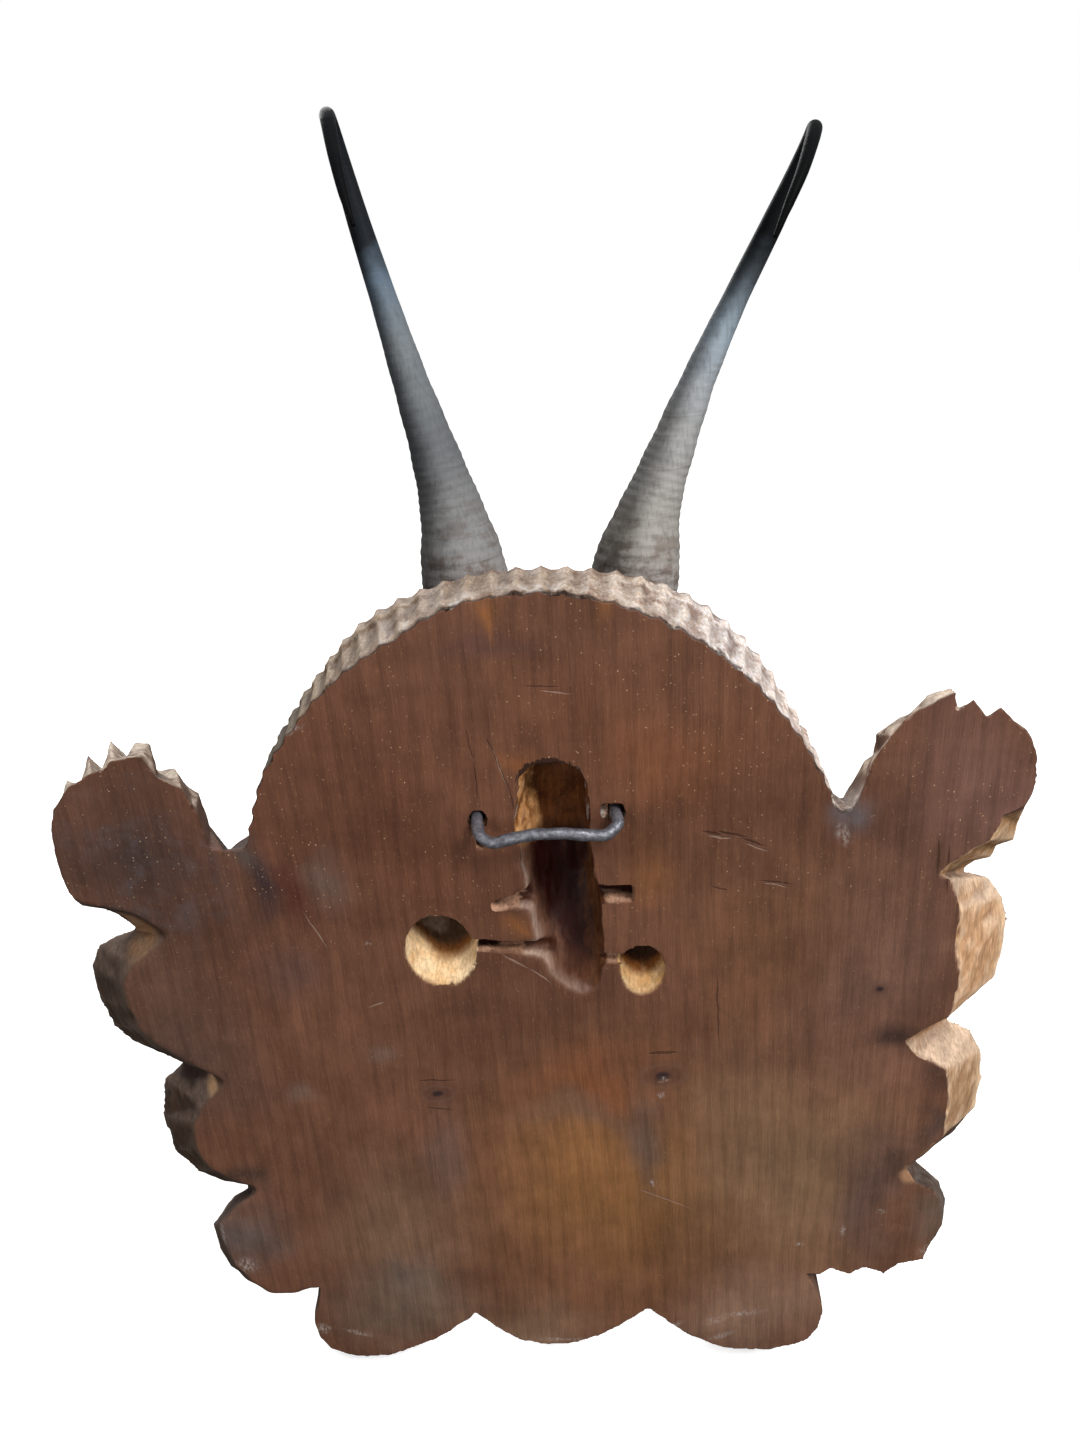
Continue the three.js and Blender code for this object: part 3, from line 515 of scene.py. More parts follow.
def worn_round(obj):
    """Rounds the rims of the plaque's left lobes, and the pocket's lower end and left edge."""
    x, y, z = surface_of(obj.data)[0].T
    rim = ease(y, -9, -4) * ease(x, 118, 128) * ease(100 - z, 0, 8)
    scoop = ease(0.62 - np.hypot((x + 3) / 28, (z - 54) / 24), 0, 0.3) * ease(y, -14, -8) * ease(x, -13, -5)
    left_edge = ease(y, -9, -5) * ease(6 - np.abs(x - 8.5), 0, 3) * ease(z, 52, 60) * ease(104 - z, 0, 14)
    group = obj.vertex_groups.new(name="worn")
    weights = np.maximum(np.maximum(rim, scoop), left_edge)
    for i in np.nonzero(weights > 0.02)[0]:
        group.add([int(i)], float(weights[i]), "REPLACE")
    return modified(obj, "SMOOTH", vertex_group="worn", factor=0.6, iterations=WORN_ROUNDS)


def even_back(mesh):
    """Breaks up the large triangles of the planed back, whose stains lie at its vertices."""
    source = bmesh.new()
    source.from_mesh(mesh)

    def on_back(face):
        return face.normal.y > BACK_FACING

    for _ in range(BACK_PASSES):
        inner = [e for e in source.edges if all(map(on_back, e.link_faces))]
        long_edges = [e for e in inner if e.calc_length() > BACK_EDGE * MM]
        if not long_edges:
            break
        bmesh.ops.subdivide_edges(source, edges=long_edges, cuts=1)
        back = [f for f in source.faces if on_back(f)]
        bmesh.ops.triangulate(source, faces=[f for f in back if len(f.verts) > 3])
        back = [f for f in source.faces if on_back(f)]
        inner = [e for e in source.edges if all(map(on_back, e.link_faces))]
        bmesh.ops.beautify_fill(source, faces=back, edges=inner)
    source.to_mesh(mesh)
    source.free()


def flat_back(mesh):
    """Leaves the board's planed back without smooth shading, which would show its triangles."""
    normals = np.empty(len(mesh.polygons) * 3, np.float32)
    mesh.polygons.foreach_get("normal", normals)
    smooth = normals.reshape(-1, 3)[:, 1] < BACK_FACING
    mesh.polygons.foreach_set("use_smooth", smooth)
    mesh.update()


def on_dome(points):
    """The share of each point that lies on the fluted dome's side, over the wings."""
    return ease(points[:, 2] - 115, 0, 8) * ease(112 - np.abs(points[:, 0]), 0, 6)


def veins(points):
    """Depth of the veins cut into the leaves, which slant from the midrib towards the tip, in millimetres."""
    plan = points[:, (0, 2)]
    depth = np.zeros(len(points))
    for root, tip, half_width in LEAVES:
        way = np.subtract(tip, root)
        length = np.hypot(*way)
        way = way / length
        off = plan - root
        along = off @ way
        across = np.abs(off @ np.array((-way[1], way[0])))
        bulge = half_width * np.sqrt(np.clip(np.sin(np.pi * np.clip(along / length, 0, 1)), 0, 1))
        line = np.cos(2 * np.pi * (along - VEIN_SLANT * across) / VEIN_SPACING)
        inside = ease(bulge - across, 1, 4) * ease(along, 6, 12) * ease(length - along, 4, 10)
        depth = np.maximum(depth, VEIN_DEPTH * (inside * ease(across, 1, 3)) * ease(line, 0.35, 1.0))
    return depth


def carve(points, normals):
    """How far tools and wear have moved the plaque's surface in, in millimetres."""
    y, facing = points[:, 1], normals[:, 1]
    left, right, pocket = plaque_cuts(points)
    cut = (left | right | pocket) & (y < -0.3)
    back = (facing > 0.9) & (y > -0.4)
    side = (np.abs(facing) < 0.8) & ~cut & ~back
    # hewn walls of the pocket and the bores
    chisel = layered(points, ((3.0, 5.0, 9.0), 3, 0.7), ((1.6, 3.0, 4.0), 4, 0.35))
    move = (cut & pocket) * chisel
    move += (cut & ~pocket) * value_noise(points, (4.0, 2.2, 4.0), 5) * 0.3
    # knife facets on the outer side
    facet = layered(points, ((7.0, 9.0, 7.0), 7, 0.55), ((2.6, 4.0, 2.6), 8, 0.22))
    move += side * facet * (1 - 0.8 * on_dome(points))
    # nicks along the rim of the back
    rim = (y > -2.2) & (facing > 0.15) & (facing < 0.93)
    nick = ease(value_noise(points, 4.5, 9), 0.1, 0.75)
    move -= rim * nick * (1.1 + 0.9 * on_dome(points))
    # gouged leaves on the front, with their veins
    front = (y < -WING_DEPTH + 1) & (facing < -0.3)
    move += front * value_noise(points, 6.0, 11) * 0.35
    move -= (facing < -0.35) * veins(points) * ease(-y, 25.5, 27.5)
    move[back] = 0
    return move


# Colours of the plaque, some of them painted shade and light
WOOD = (0.122, 0.053, 0.031)
CREAM = ((0.62, 0.35, 0.14), (0.9, 0.68, 0.42))
# painted shade in the bores, between the cream of their lit walls and their dark depths
AMBER_SHADE = (0.17, 0.058, 0.013)
SHADOW = (0.015, 0.002, 0.001)
OCHRE = ((0.28, 0.125, 0.042), (0.66, 0.42, 0.21))
# painted shade just inside the pocket's rim
WALNUT_SHADE = (0.06, 0.02, 0.009)
# rubbed wear on the pocket's rim, painted lighter as a highlight as well
RUBBED_AND_LIT = (0.32, 0.215, 0.165)
SAWN = ((0.24, 0.125, 0.075), (0.5, 0.29, 0.19))
KNOCKED = ((0.42, 0.225, 0.115), (0.68, 0.4, 0.215))
WORN_TOP = (0.48, 0.345, 0.25)
# grime and painted shade on the left lobes
GRIMY_SHADED = (0.04, 0.0205, 0.0112)
DUSTY = ((0.075, 0.048, 0.034), (0.19, 0.155, 0.13))
FRONT_WOOD = (0.085, 0.04, 0.023)
FRONT_FROM = 22.5
# The dome's fluted side from the left of the photograph to the right: -x of each colour
# The change from dark on the left to pale on the right is partly painted shade and light, as the side turns
# away from and towards the key light.
BAND_AT = (-104, -92, -80, -60, 0, 35, 65, 95)
BAND_COLOURS = ((0.05, 0.04, 0.03), (0.12, 0.1, 0.075), (0.26, 0.21, 0.155), (0.27, 0.22, 0.175),
                (0.28, 0.225, 0.18), (0.46, 0.4, 0.35), (0.66, 0.63, 0.63), (0.68, 0.61, 0.57))


class Coat:
    """Colours laid over the stained wood at each vertex, one after the other."""

    def __init__(self, count):
        self.colour = np.zeros((count, 3))
        self.cover = np.zeros(count)

    def lay(self, share, colour):
        share = np.clip(share, 0, 1)
        self.colour = self.colour * (1 - share)[:, None] + np.asarray(colour) * share[:, None]
        self.cover += share * (1 - self.cover)


def sunkenness(mesh, points, normals):
    """How far each point lies below the surface around it, in millimetres: negative on a ridge."""
    ends = np.empty(len(mesh.edges) * 2, np.int32)
    mesh.edges.foreach_get("vertices", ends)
    first, second = ends.reshape(-1, 2).T
    count = len(points)
    near = np.maximum(np.bincount(first, minlength=count) + np.bincount(second, minlength=count), 1)
    around = points.copy()
    for _ in range(SUNK_ROUNDS):
        sums = [np.bincount(first, around[second, k], count) + np.bincount(second, around[first, k], count)
                for k in range(3)]
        around = np.stack(sums, axis=1) / near[:, None]
    return ((around - points) * normals).sum(axis=1)


def between(colours, share):
    low, high = np.array(colours[0]), np.array(colours[1])
    return low + (high - low) * np.clip(share, 0, 1)[:, None]


def paint_cuts(coat, points, normals, mottle):
    """The bores, the pocket and the kerfs, with painted shade that deepens into them and painted light on the
    walls turned to the key light. Returns how raw the wood is at each point.
    """
    x, y, z = points.T
    depth = -y
    left, right, pocket = plaque_cuts(points)
    inside = ease(depth, 0.2, 1.4)
    depth_seen = depth + mottle * 1.6
    coat.lay(left * inside, between(CREAM, 0.7 + mottle))
    coat.lay(right * inside, between(CREAM, 0.2 + mottle) * 0.8)
    # Painted shade in the left bore: from the cream of its lit lower wall to amber and then dark brown as it
    # goes deeper, with its left wall, which faces the key light, kept lit further in; a grey patch at its
    # deepest end.
    low_left = depth_seen - 5.5 * ease(x, 45, 55)
    coat.lay(left * ease(low_left, 6.5, 12.5), between((AMBER_SHADE, (0.3, 0.12, 0.03)), 0.4 + mottle))
    coat.lay(left * ease(depth - 4 * ease(x, 46, 54), 12.0, 15.5), (0.07, 0.036, 0.018))
    coat.lay(left * ease(depth, 18.0, 19.5) * ease(x, 42, 47), (0.26, 0.18, 0.13))
    # Painted shade in the right bore: amber, then dark brown as it goes deeper.
    coat.lay(right * ease(depth_seen, 4.6, 8.0), AMBER_SHADE)
    coat.lay(right * ease(depth, 8.2, 10.8), (0.04, 0.017, 0.008))

    kerf = pocket & ((x > 12.5) | (x < -19))
    hollow = pocket & ~kerf
    faces_right = ease(-normals[:, 0], 0.1, 0.6)
    # Painted shade in the pocket: dark walnut just inside the rim and near-black deeper in, with warmer
    # browns at its top and on the wall that faces +x.
    coat.lay(hollow * ease(depth, 0.3, 1.8), varied(WALNUT_SHADE, 0.5 * mottle))
    coat.lay(hollow * ease(depth, 3.5, 8.5), SHADOW)
    coat.lay(hollow * ease(z, 109, 119) * inside * (0.75 + 0.6 * mottle), (0.15, 0.05, 0.012))
    coat.lay(hollow * ease(normals[:, 0], 0.1, 0.6) * inside * (0.6 + 0.6 * mottle), (0.11, 0.04, 0.014))
    # Painted light on the pocket's left wall, which faces -x towards the key light: a lighter brown lower
    # down, and raw ochre wood painted brighter higher up.
    slope = hollow * faces_right * ease(118 - z, 0, 10) * ease(12 - depth, 0, 8) * ease(x, -8, 0)
    coat.lay(slope * (0.85 + 0.3 * mottle), (0.15, 0.07, 0.043))
    high_wall = hollow * faces_right * ease(z, 110, 120) * ease(x, 0, 4) * inside
    coat.lay(high_wall * (0.85 + 0.5 * mottle), between(OCHRE, 0.5 + mottle * 1.6) * (1.35, 1.18, 1.0))
    # The rim of the pocket's left wall and its lower end: rubbed wear, painted lighter as a highlight as
    # well.
    low_edge = ease(122 - z, 0, 16) * ease(5.2 - depth, 0, 4.2) * ease(x, 0, 4)
    run_out = ease(66 - z, 0, 8) * ease(2.8 - depth, 0, 2.2) * ease(x, -14, -9)
    worn = np.maximum(low_edge, run_out * 0.75)
    coat.lay(hollow * worn * inside, varied(RUBBED_AND_LIT, 0.35 * mottle))
    coat.lay(kerf * inside, between(SAWN, (0.5 + mottle * 1.3) * ease(z, 72, 84, 0.35)))
    reach = np.abs(x - POCKET_MIDDLE_X)
    coat.lay(kerf * ease(depth + 5.0 * ease(reach, 20, 32), 6.5, 8.2), SHADOW)
    return (left | right) * inside + high_wall + kerf * inside


def paint_sides(coat, points, normals, mottle, side, sunk):
    x, y, z = points.T
    depth = -y
    up = ease(normals[:, 2], 0.15, 0.6)
    strand = layered(points, ((1.1, 1.1, 8.0), 23, 0.5), ((0.6, 0.6, 4.0), 24, 0.3))
    dome = side * on_dome(points)
    band = np.stack([np.interp(-x, BAND_AT, channel) for channel in zip(*BAND_COLOURS)], axis=1)
    hollow = ease(sunk, 0.02, 0.35)
    ridge = ease(-sunk, 0.05, 0.4)
    coat.lay(dome * (0.94 + 0.3 * mottle), varied(band, 0.4 * mottle))
    # Painted shade in the flutes' hollows, painted highlight on their ridges, and a painted shade line along
    # the edge of the back.
    coat.lay(dome * hollow * 0.55, band * (0.42, 0.34, 0.3))
    coat.lay(dome * ridge * 0.5, band * (1.35, 1.32, 1.3))
    coat.lay(dome * ease(2.6 + 2.6 * mottle - depth, 0, 1.4) * 0.9, (0.045, 0.027, 0.02))

    # knocked lobes on the right
    knocked = side * ease(-x, 125, 134) * ease(122 - z, 0, 6) * ease(z + 42, 0, 8)
    coat.lay(knocked, between(KNOCKED, 0.5 + strand) * ease(z, 22, 34, 0.72)[:, None])
    coat.lay(knocked * ease(z, 84, 92) * (1 - up), between(OCHRE, 0.25 + strand))
    coat.lay(knocked * ease(depth + mottle * 3, 20, 26) * ease(95 - z, 0, 8), (0.72, 0.5, 0.31))
    coat.lay(knocked * up, varied(WORN_TOP, 0.22 * mottle))
    # Painted shade in the notches between the right lobes.
    for notch_x, notch_z in ((-132, 25), (-146, 92), (-134, -38)):
        near = ease(9 - np.hypot(x - notch_x, z - notch_z), 0, 7)
        coat.lay(knocked * near * 0.8, (0.1, 0.068, 0.052))
    low = side * ease(-x, 125, 134) * ease(-42 - z, 0, 8)
    coat.lay(low * (0.9 + mottle), between(DUSTY, 0.5 + strand + mottle))

    # grimy lobes on the left: grime and painted shade on the sides turned away from the key light, lighter
    # where they face up
    grimy_shaded = side * ease(x, 105, 125) * ease(118 - z, 0, 10)
    coat.lay(grimy_shaded, varied(GRIMY_SHADED, 0.5 * mottle))
    coat.lay(grimy_shaded * up, varied((0.088, 0.055, 0.042), 0.6 * mottle))
    coat.lay(grimy_shaded * ease(14 - np.hypot(x - 164, z - 78), 0, 8), (0.2, 0.105, 0.05))
    # painted shade in the deep slit near z = 4
    coat.lay(grimy_shaded * ease(depth, 8, 12) * ease(12 - np.abs(z - 4), 0, 5), (0.022, 0.01, 0.006))
    coat.lay(grimy_shaded * ease(5 - np.hypot(x - 146, z - 4), 0, 4), (0.33, 0.19, 0.1))

    coat.lay((grimy_shaded + low) * ridge * 0.35, (0.13, 0.092, 0.07))
    coat.lay(knocked * ridge * 0.5, (0.76, 0.55, 0.38))
    # Painted shade in the hollows of the knocked lobes.
    coat.lay(knocked * hollow * 0.4, (0.2, 0.11, 0.06))

    # worn caps of the teeth on both wings
    caps = side * up * ease(np.abs(x), 108, 114) * ease(z, 126, 134)
    worn = np.where(x < 0, 0.62, 0.42)[:, None] * np.array((1.0, 0.81, 0.64))
    coat.lay(caps * ease(mottle, -0.35, 0.15), worn)


def paint_front(coat, normals, depth, mottle, front, sunk):
    """The carved front: painted shade in the hollows and towards the back, rubbed along the ridges, with a
    little dust on what faces up.
    """
    coat.lay(front * ease(25 - depth, 0, 5) * 0.45, (0.022, 0.011, 0.007))
    coat.lay(front * ease(sunk, 0.05, 0.8) * 0.7, (0.018, 0.009, 0.006))
    coat.lay(front * ease(-sunk, 0.06, 0.6) * (0.55 + 0.4 * mottle), (0.25, 0.135, 0.075))
    coat.lay(front * ease(normals[:, 2], 0.35, 0.85) * (0.22 + 0.3 * mottle), (0.3, 0.25, 0.21))


def stained(points):
    """The colour of the stained and aged wood at each point, with painted shade beside the right lobes'
    notches.
    """
    x_and_z = points[:, (0, 2)].T
    far = [v + layered(points, (34, 41 + k, 12), (11, 43 + k, 4)) for k, v in enumerate(x_and_z)]
    near = [v + 3.5 * value_noise(points, 9, 45 + k) for k, v in enumerate(x_and_z)]
    colour = np.tile(WOOD, (len(points), 1))
    for centre_x, centre_z, half_x, half_z, tone, share in STAINS:
        where_x, where_z = far if half_x > 20 else near
        away = np.hypot((where_x - centre_x) / half_x, (where_z - centre_z) / half_z)
        part = (share * ease(1 - away, 0, 1))[:, None]
        colour = colour * (1 - part) + np.array(tone) * part
    cloud = layered(points, (40, 47, 0.5), (17, 48, 0.3), (8, 49, 0.2))
    return varied(colour, 0.34 * cloud)


def paint(mesh):
    points, normals = surface_of(mesh)
    mottle = layered(points, (5.0, 21, 0.45), (1.8, 22, 0.35))
    left, right, pocket = plaque_cuts(points)
    depth = -points[:, 1]
    sunk = sunkenness(mesh, points, normals)
    cut = left | right | pocket
    facing = normals[:, 1]
    leaning = ease(depth, FRONT_FROM, FRONT_FROM + 2) * ease(-facing, 0.05, 0.2)
    front = np.maximum(ease(-facing, 0.3, 0.6), leaning) * ~cut
    side = ease(0.985 - facing, 0, 0.06) * ease(depth, 0.3, 1.2) * ~cut * (1 - front)
    coat = Coat(len(points))
    raw = paint_cuts(coat, points, normals, mottle)
    paint_sides(coat, points, normals, mottle, side, sunk)
    paint_front(coat, normals, depth, mottle, front, sunk)
    attribute(mesh, "raw", np.clip(raw, 0, 1))
    attribute(mesh, "cover", coat.cover)
    attribute(mesh, "coat", coat.colour)
    tone = stained(points)
    carved = varied(FRONT_WOOD, 0.5 * value_noise(points, 30, 51) + 0.3 * mottle)
    share = np.clip(ease(depth, 6, 16) + front, 0, 1)[:, None]
    attribute(mesh, "stain", tone * (1 - share) + carved * share)


def make_plaque():
    obj = remeshed("plaque", "plaque_carved", PLAQUE_VOXEL, SLOTS)
    points, normals = surface_of(obj.data)
    move_points(obj.data, points + normals * carve(points, normals)[:, None])
    worn_round(obj)
    count = sum(len(p.vertices) - 2 for p in obj.data.polygons)
    if count > PLAQUE_TRIANGLES:
        modified(obj, "DECIMATE", ratio=PLAQUE_TRIANGLES / count)
    even_back(obj.data)
    flat_back(obj.data)
    paint(obj.data)
    set_material(obj, wood_material())
    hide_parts("plaque")
    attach(obj, "root")


# Horns: the centre line of each and the width of the sheath at each of its points, in millimetres
HORNS = {
    "horn_left": {
        "line": ((28.2, -59.5, 189), (29.2, -61, 201), (30.4, -62.8, 212.6), (32.8, -65.2, 227),
                 (37.2, -68.2, 246), (43.6, -72, 270), (50.6, -76.4, 297.7), (57.2, -80.4, 324),
                 (61.4, -83.2, 343), (63, -82, 353), (62.6, -76.5, 356), (60.8, -68, 353.5),
                 (58, -58, 342.5), (55.2, -51.5, 330.5), (52.6, -48, 321.5)),
        "width": (33.5, 33, 28.7, 22.5, 17.3, 13, 9.7, 8, 6.6, 5.8, 5.4, 5.1, 4.3, 3.2, 1.4),
    },
    "horn_right": {
        "line": ((-33.6, -59.5, 188), (-36.2, -60.7, 200), (-38.8, -62.4, 210.5), (-43.4, -64.8, 224.5),
                 (-50.2, -67.4, 241), (-60.4, -71.1, 264.3), (-73.5, -75.2, 290), (-87.2, -79, 314.7),
                 (-96, -81.6, 331.5), (-99.2, -81, 339), (-99.2, -75.5, 341.4), (-97.2, -67.5, 338),
                 (-92.4, -57.5, 328), (-87.4, -52, 318.5), (-82.8, -48.5, 309.5)),
        "width": (33.5, 33, 28, 20.9, 16.6, 12.1, 8.9, 7.8, 6.4, 5.6, 5.2, 4.9, 4.1, 3.1, 1.3),
    },
}
HORN_RINGS = 420
HORN_SIDES = 56
# Colours from the base of each horn to its tip, each with its share of the length. The grey and blue-grey
# stops below the black tip are partly the horn's own tone and partly painted sheen, and the left horn's are
# darker as painted shade.
LEFT_HORN_COLOURS = (
    (0.0, (0.24, 0.215, 0.205)), (0.1, (0.18, 0.178, 0.175)), (0.26, (0.1, 0.105, 0.11)),
    (0.43, (0.13, 0.145, 0.156)), (0.52, (0.09, 0.12, 0.155)), (0.58, (0.012, 0.014, 0.017)),
    (1.0, (0.003, 0.003, 0.003)),
)
RIGHT_HORN_COLOURS = (
    (0.0, (0.27, 0.245, 0.23)), (0.12, (0.25, 0.238, 0.215)), (0.3, (0.26, 0.258, 0.255)),
    (0.46, (0.21, 0.255, 0.295)), (0.54, (0.045, 0.054, 0.063)), (0.6, (0.006, 0.007, 0.008)),
    (1.0, (0.003, 0.003, 0.003)),
)
# Growth rings, slow swellings and fine ridges of a horn: how many, and how high in millimetres
GROWTH_RINGS = (62, 0.13)
SWELLINGS = (13, 0.22)
FINE_RIDGES = (23, 0.05)


def curve_through(knots, steps):
    """Evenly spaced points on a smooth curve through the knots."""
    knots = np.array(knots, float)
    gaps = np.sqrt(np.linalg.norm(np.diff(knots, axis=0), axis=1))
    times = np.concatenate([[0], np.cumsum(gaps)])
    fine = np.linspace(0, times[-1], steps * 6)
    ends = np.vstack([2 * knots[0] - knots[1], knots, 2 * knots[-1] - knots[-2]])
    end_times = np.concatenate([[-gaps[0]], times, [times[-1] + gaps[-1]]])
    span = np.clip(np.searchsorted(times, fine, side="right") - 1, 0, len(knots) - 2)
    t0, t1, t2, t3 = (end_times[span + k] for k in range(4))
    p0, p1, p2, p3 = (ends[span + k] for k in range(4))

    def blend(a, b, ta, tb):
        share = ((fine - ta) / (tb - ta))[:, None]
        return a * (1 - share) + b * share

    a1, a2, a3 = blend(p0, p1, t0, t1), blend(p1, p2, t1, t2), blend(p2, p3, t2, t3)
    b1, b2 = blend(a1, a2, t0, t2), blend(a2, a3, t1, t3)
    path = blend(b1, b2, t1, t2)
    length = np.concatenate([[0], np.cumsum(np.linalg.norm(np.diff(path, axis=0), axis=1))])
    wanted = np.linspace(0, length[-1], steps)
    return np.stack([np.interp(wanted, length, path[:, k]) for k in range(3)], axis=1)


def tube(name, path, radii, sides, side_hint, relief):
    """A closed tube along a path. relief(share, angles) gives each ring point's extra radius."""
    along = np.gradient(path, axis=0)
    along /= np.linalg.norm(along, axis=1)[:, None]
    sideways = side_hint - along * (along @ side_hint)[:, None]
    sideways /= np.linalg.norm(sideways, axis=1)[:, None]
    forward = np.cross(along, sideways)
    angles = np.linspace(0, 2 * np.pi, sides, endpoint=False)
    share = np.linspace(0, 1, len(path))
    radius = radii[:, None] + relief(share[:, None], angles[None, :])
    ring = path[:, None, :] + radius[..., None] * (np.cos(angles)[None, :, None] * sideways[:, None, :]
                                                  + np.sin(angles)[None, :, None] * forward[:, None, :])
    points = ring.reshape(-1, 3)
    pairs = [(i, (i + 1) % sides) for i in range(sides)]
    end = len(points) - sides
    faces = [(row + i, row + j, row + sides + j, row + sides + i)
             for row in range(0, end, sides) for i, j in pairs]
    for i, j in pairs:
        faces += [(len(points), j, i), (len(points) + 1, end + i, end + j)]
    points = np.vstack([points, path[0], path[-1]])
    obj = object_from(name, points, faces)
    attribute(obj.data, "along", np.concatenate([np.repeat(share, sides), [0, 1]]))
    attribute(obj.data, "beside", np.concatenate([np.tile(np.cos(angles), len(path)), [0, 0]]))
    return smooth_shaded(obj)


def horn_material():
    n = Nodes("horn")
    along = n.layer("along")
    mottle = n.speckle((0.09, 0.09, 0.09), 4.0, 0.6)
    place = n.add(along, n.mul(n.add(mottle, -0.5), 0.07))
    left = n.ramp(place, LEFT_HORN_COLOURS)
    right = n.ramp(place, RIGHT_HORN_COLOURS)
    colour = n.mix(n.band(n.x, 2.0, -8.0), left, right)
    streak = n.speckle((0.9, 0.9, 0.03), 4.0, 0.6)
    streaked = n.mul(n.band(streak, 0.45, 0.7), n.band(along, 0.6, 0.5, 0.02, 0.3))
    colour = n.mix(streaked, colour, (0.06, 0.055, 0.05))
    rings = n.speckle((0.02, 0.02, 0.8), 2.0)
    base = n.band(along, 0.5, 0.05)
    colour = n.mix(n.mul(n.mul(n.band(rings, 0.55, 0.75), base), 0.4), colour, (0.08, 0.055, 0.04))
    stained = n.speckle((0.11, 0.11, 0.16), 4.0, 0.65)
    low = n.band(along, 0.24, 0.02)
    colour = n.mix(n.mul(n.mul(n.band(stained, 0.46, 0.62), low), 0.6), colour, (0.075, 0.042, 0.026))
    # Painted shade on the side of each horn that faces +x, away from the key light, and painted light on the
    # side that faces -x, over its lower part.
    beside = n.add(n.layer("beside"), n.mul(n.add(stained, -0.5), 0.9))
    side_shade = n.band(beside, -0.35, 0.75, 1.18, 0.4)
    colour = n.mix(n.band(along, 0.75, 0.55), colour, n.mix(1.0, colour, side_shade, "MULTIPLY"))
    rough = n.band(along, 0.1, 0.6, 0.5, 0.42)
    normal = n.bump(rings, 0.35, 0.5)
    normal = n.bump(streak, 0.25, 0.5, normal)
    return n.finish(Base_Color=colour, Roughness=rough, Normal=normal, Specular_IOR_Level=0.015)


def make_horns():
    material = horn_material()
    for seed, (name, spec) in enumerate(HORNS.items()):
        line = curve_through(spec["line"], HORN_RINGS)
        gaps = np.linalg.norm(np.diff(spec["line"], axis=0), axis=1)
        marks = np.concatenate([[0], np.cumsum(gaps)]) / gaps.sum()
        radii = np.interp(np.linspace(0, 1, HORN_RINGS), marks, spec["width"]) / 2

        def relief(share, angles, seed=seed):
            fade = 1 - ease(share, 0.05, 0.6)
            turns = share * 2 * np.pi
            rings = np.sin(turns * GROWTH_RINGS[0] + 1.4 * np.sin(angles + seed) + 2.2 * np.sin(share * 31))
            swell = np.sin(turns * SWELLINGS[0] + 0.6 * np.sin(angles + seed * 2))
            ridge = np.sin(angles * FINE_RIDGES[0] + 3 * np.sin(share * 9)) * FINE_RIDGES[1]
            waves = fade * (GROWTH_RINGS[1] * rings + SWELLINGS[1] * swell)
            return waves + ridge * (1 - ease(share, 0.3, 0.9))

        obj = tube(name + "_sheath", line, radii, HORN_SIDES, np.array([1.0, 0.0, 0.0]), relief)
        set_material(obj, material)
        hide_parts(name)
        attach(obj, "root")


# Wire staple, in millimetres
STAPLE_HALF_SPAN = 24.6
STAPLE_STANDOFF = 10.5
STAPLE_CENTRE = (0.3, 127.6)
STAPLE_LEG_DEPTH = 11
STAPLE_RADIUS = 2.1
STAPLE_RINGS = 260
STAPLE_SIDES = 28
# The driven ends narrow to this share of the radius, over this many rings
STAPLE_POINT = 0.45
STAPLE_TAPER = 14
IRON_COLOURS = ((0.3, (0.05, 0.048, 0.052)), (0.5, (0.14, 0.142, 0.165)), (0.72, (0.26, 0.25, 0.27)))


def iron_material():
    n = Nodes("forged_iron")
    scale = n.speckle((0.6, 0.6, 0.6), 5.0, 0.65)
    colour = n.ramp(scale, IRON_COLOURS)
    rust = n.speckle((0.25, 0.25, 0.25), 4.0, 0.6)
    colour = n.mix(n.mul(n.band(rust, 0.58, 0.72), 0.4), colour, (0.2, 0.12, 0.08))
    rough = n.band(scale, 0.3, 0.7, 0.56, 0.36)
    normal = n.bump(scale, 0.4, 0.6)
    return n.finish(Base_Color=colour, Roughness=rough, Normal=normal, Metallic=0.55)


def make_staple(material):
    half, out = STAPLE_HALF_SPAN, STAPLE_STANDOFF
    knots = [(half, -STAPLE_LEG_DEPTH, 0), (half, -1, 0), (half - 0.6, out - 6.2, -0.7),
             (half - 2.2, out - 2, -2.6), (half - 5.6, out, -3.9), (half - 11, out, -3.0), (5, out, -1.3),
             (-7, out, -1.2), (8.5 - half, out, -2.2), (3 - half, out - 0.9, -2.4),
             (-half - 0.6, out - 3.6, -0.2), (-half - 0.4, out - 7, 0.8), (-half, -1, 0),
             (-half, -STAPLE_LEG_DEPTH, 0)]
    shifted = [(x + STAPLE_CENTRE[0], y, z + STAPLE_CENTRE[1]) for x, y, z in knots]
    line = curve_through(shifted, STAPLE_RINGS)

    def relief(share, angles):
        dents = 0.09 * np.sin(share * 61 + 2 * np.sin(angles)) + 0.07 * np.sin(share * 23 + angles * 2)
        return dents * ease(share, 0.02, 0.1)

    radii = np.full(len(line), STAPLE_RADIUS)
    radii[:STAPLE_TAPER] *= np.linspace(STAPLE_POINT, 1, STAPLE_TAPER)
    radii[-STAPLE_TAPER:] *= np.linspace(1, STAPLE_POINT, STAPLE_TAPER)
    obj = tube("staple_wire", line, radii, STAPLE_SIDES, np.array([0.0, 0.0, 1.0]), relief)
    set_material(obj, material)
    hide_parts("hanger_staple")
    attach(obj, "root")


# Skull cap, in millimetres: its back is sawn flat and lies on the boss
SKULL_VOXEL = 1.1
SKULL_SAWN_FROM = -40.9


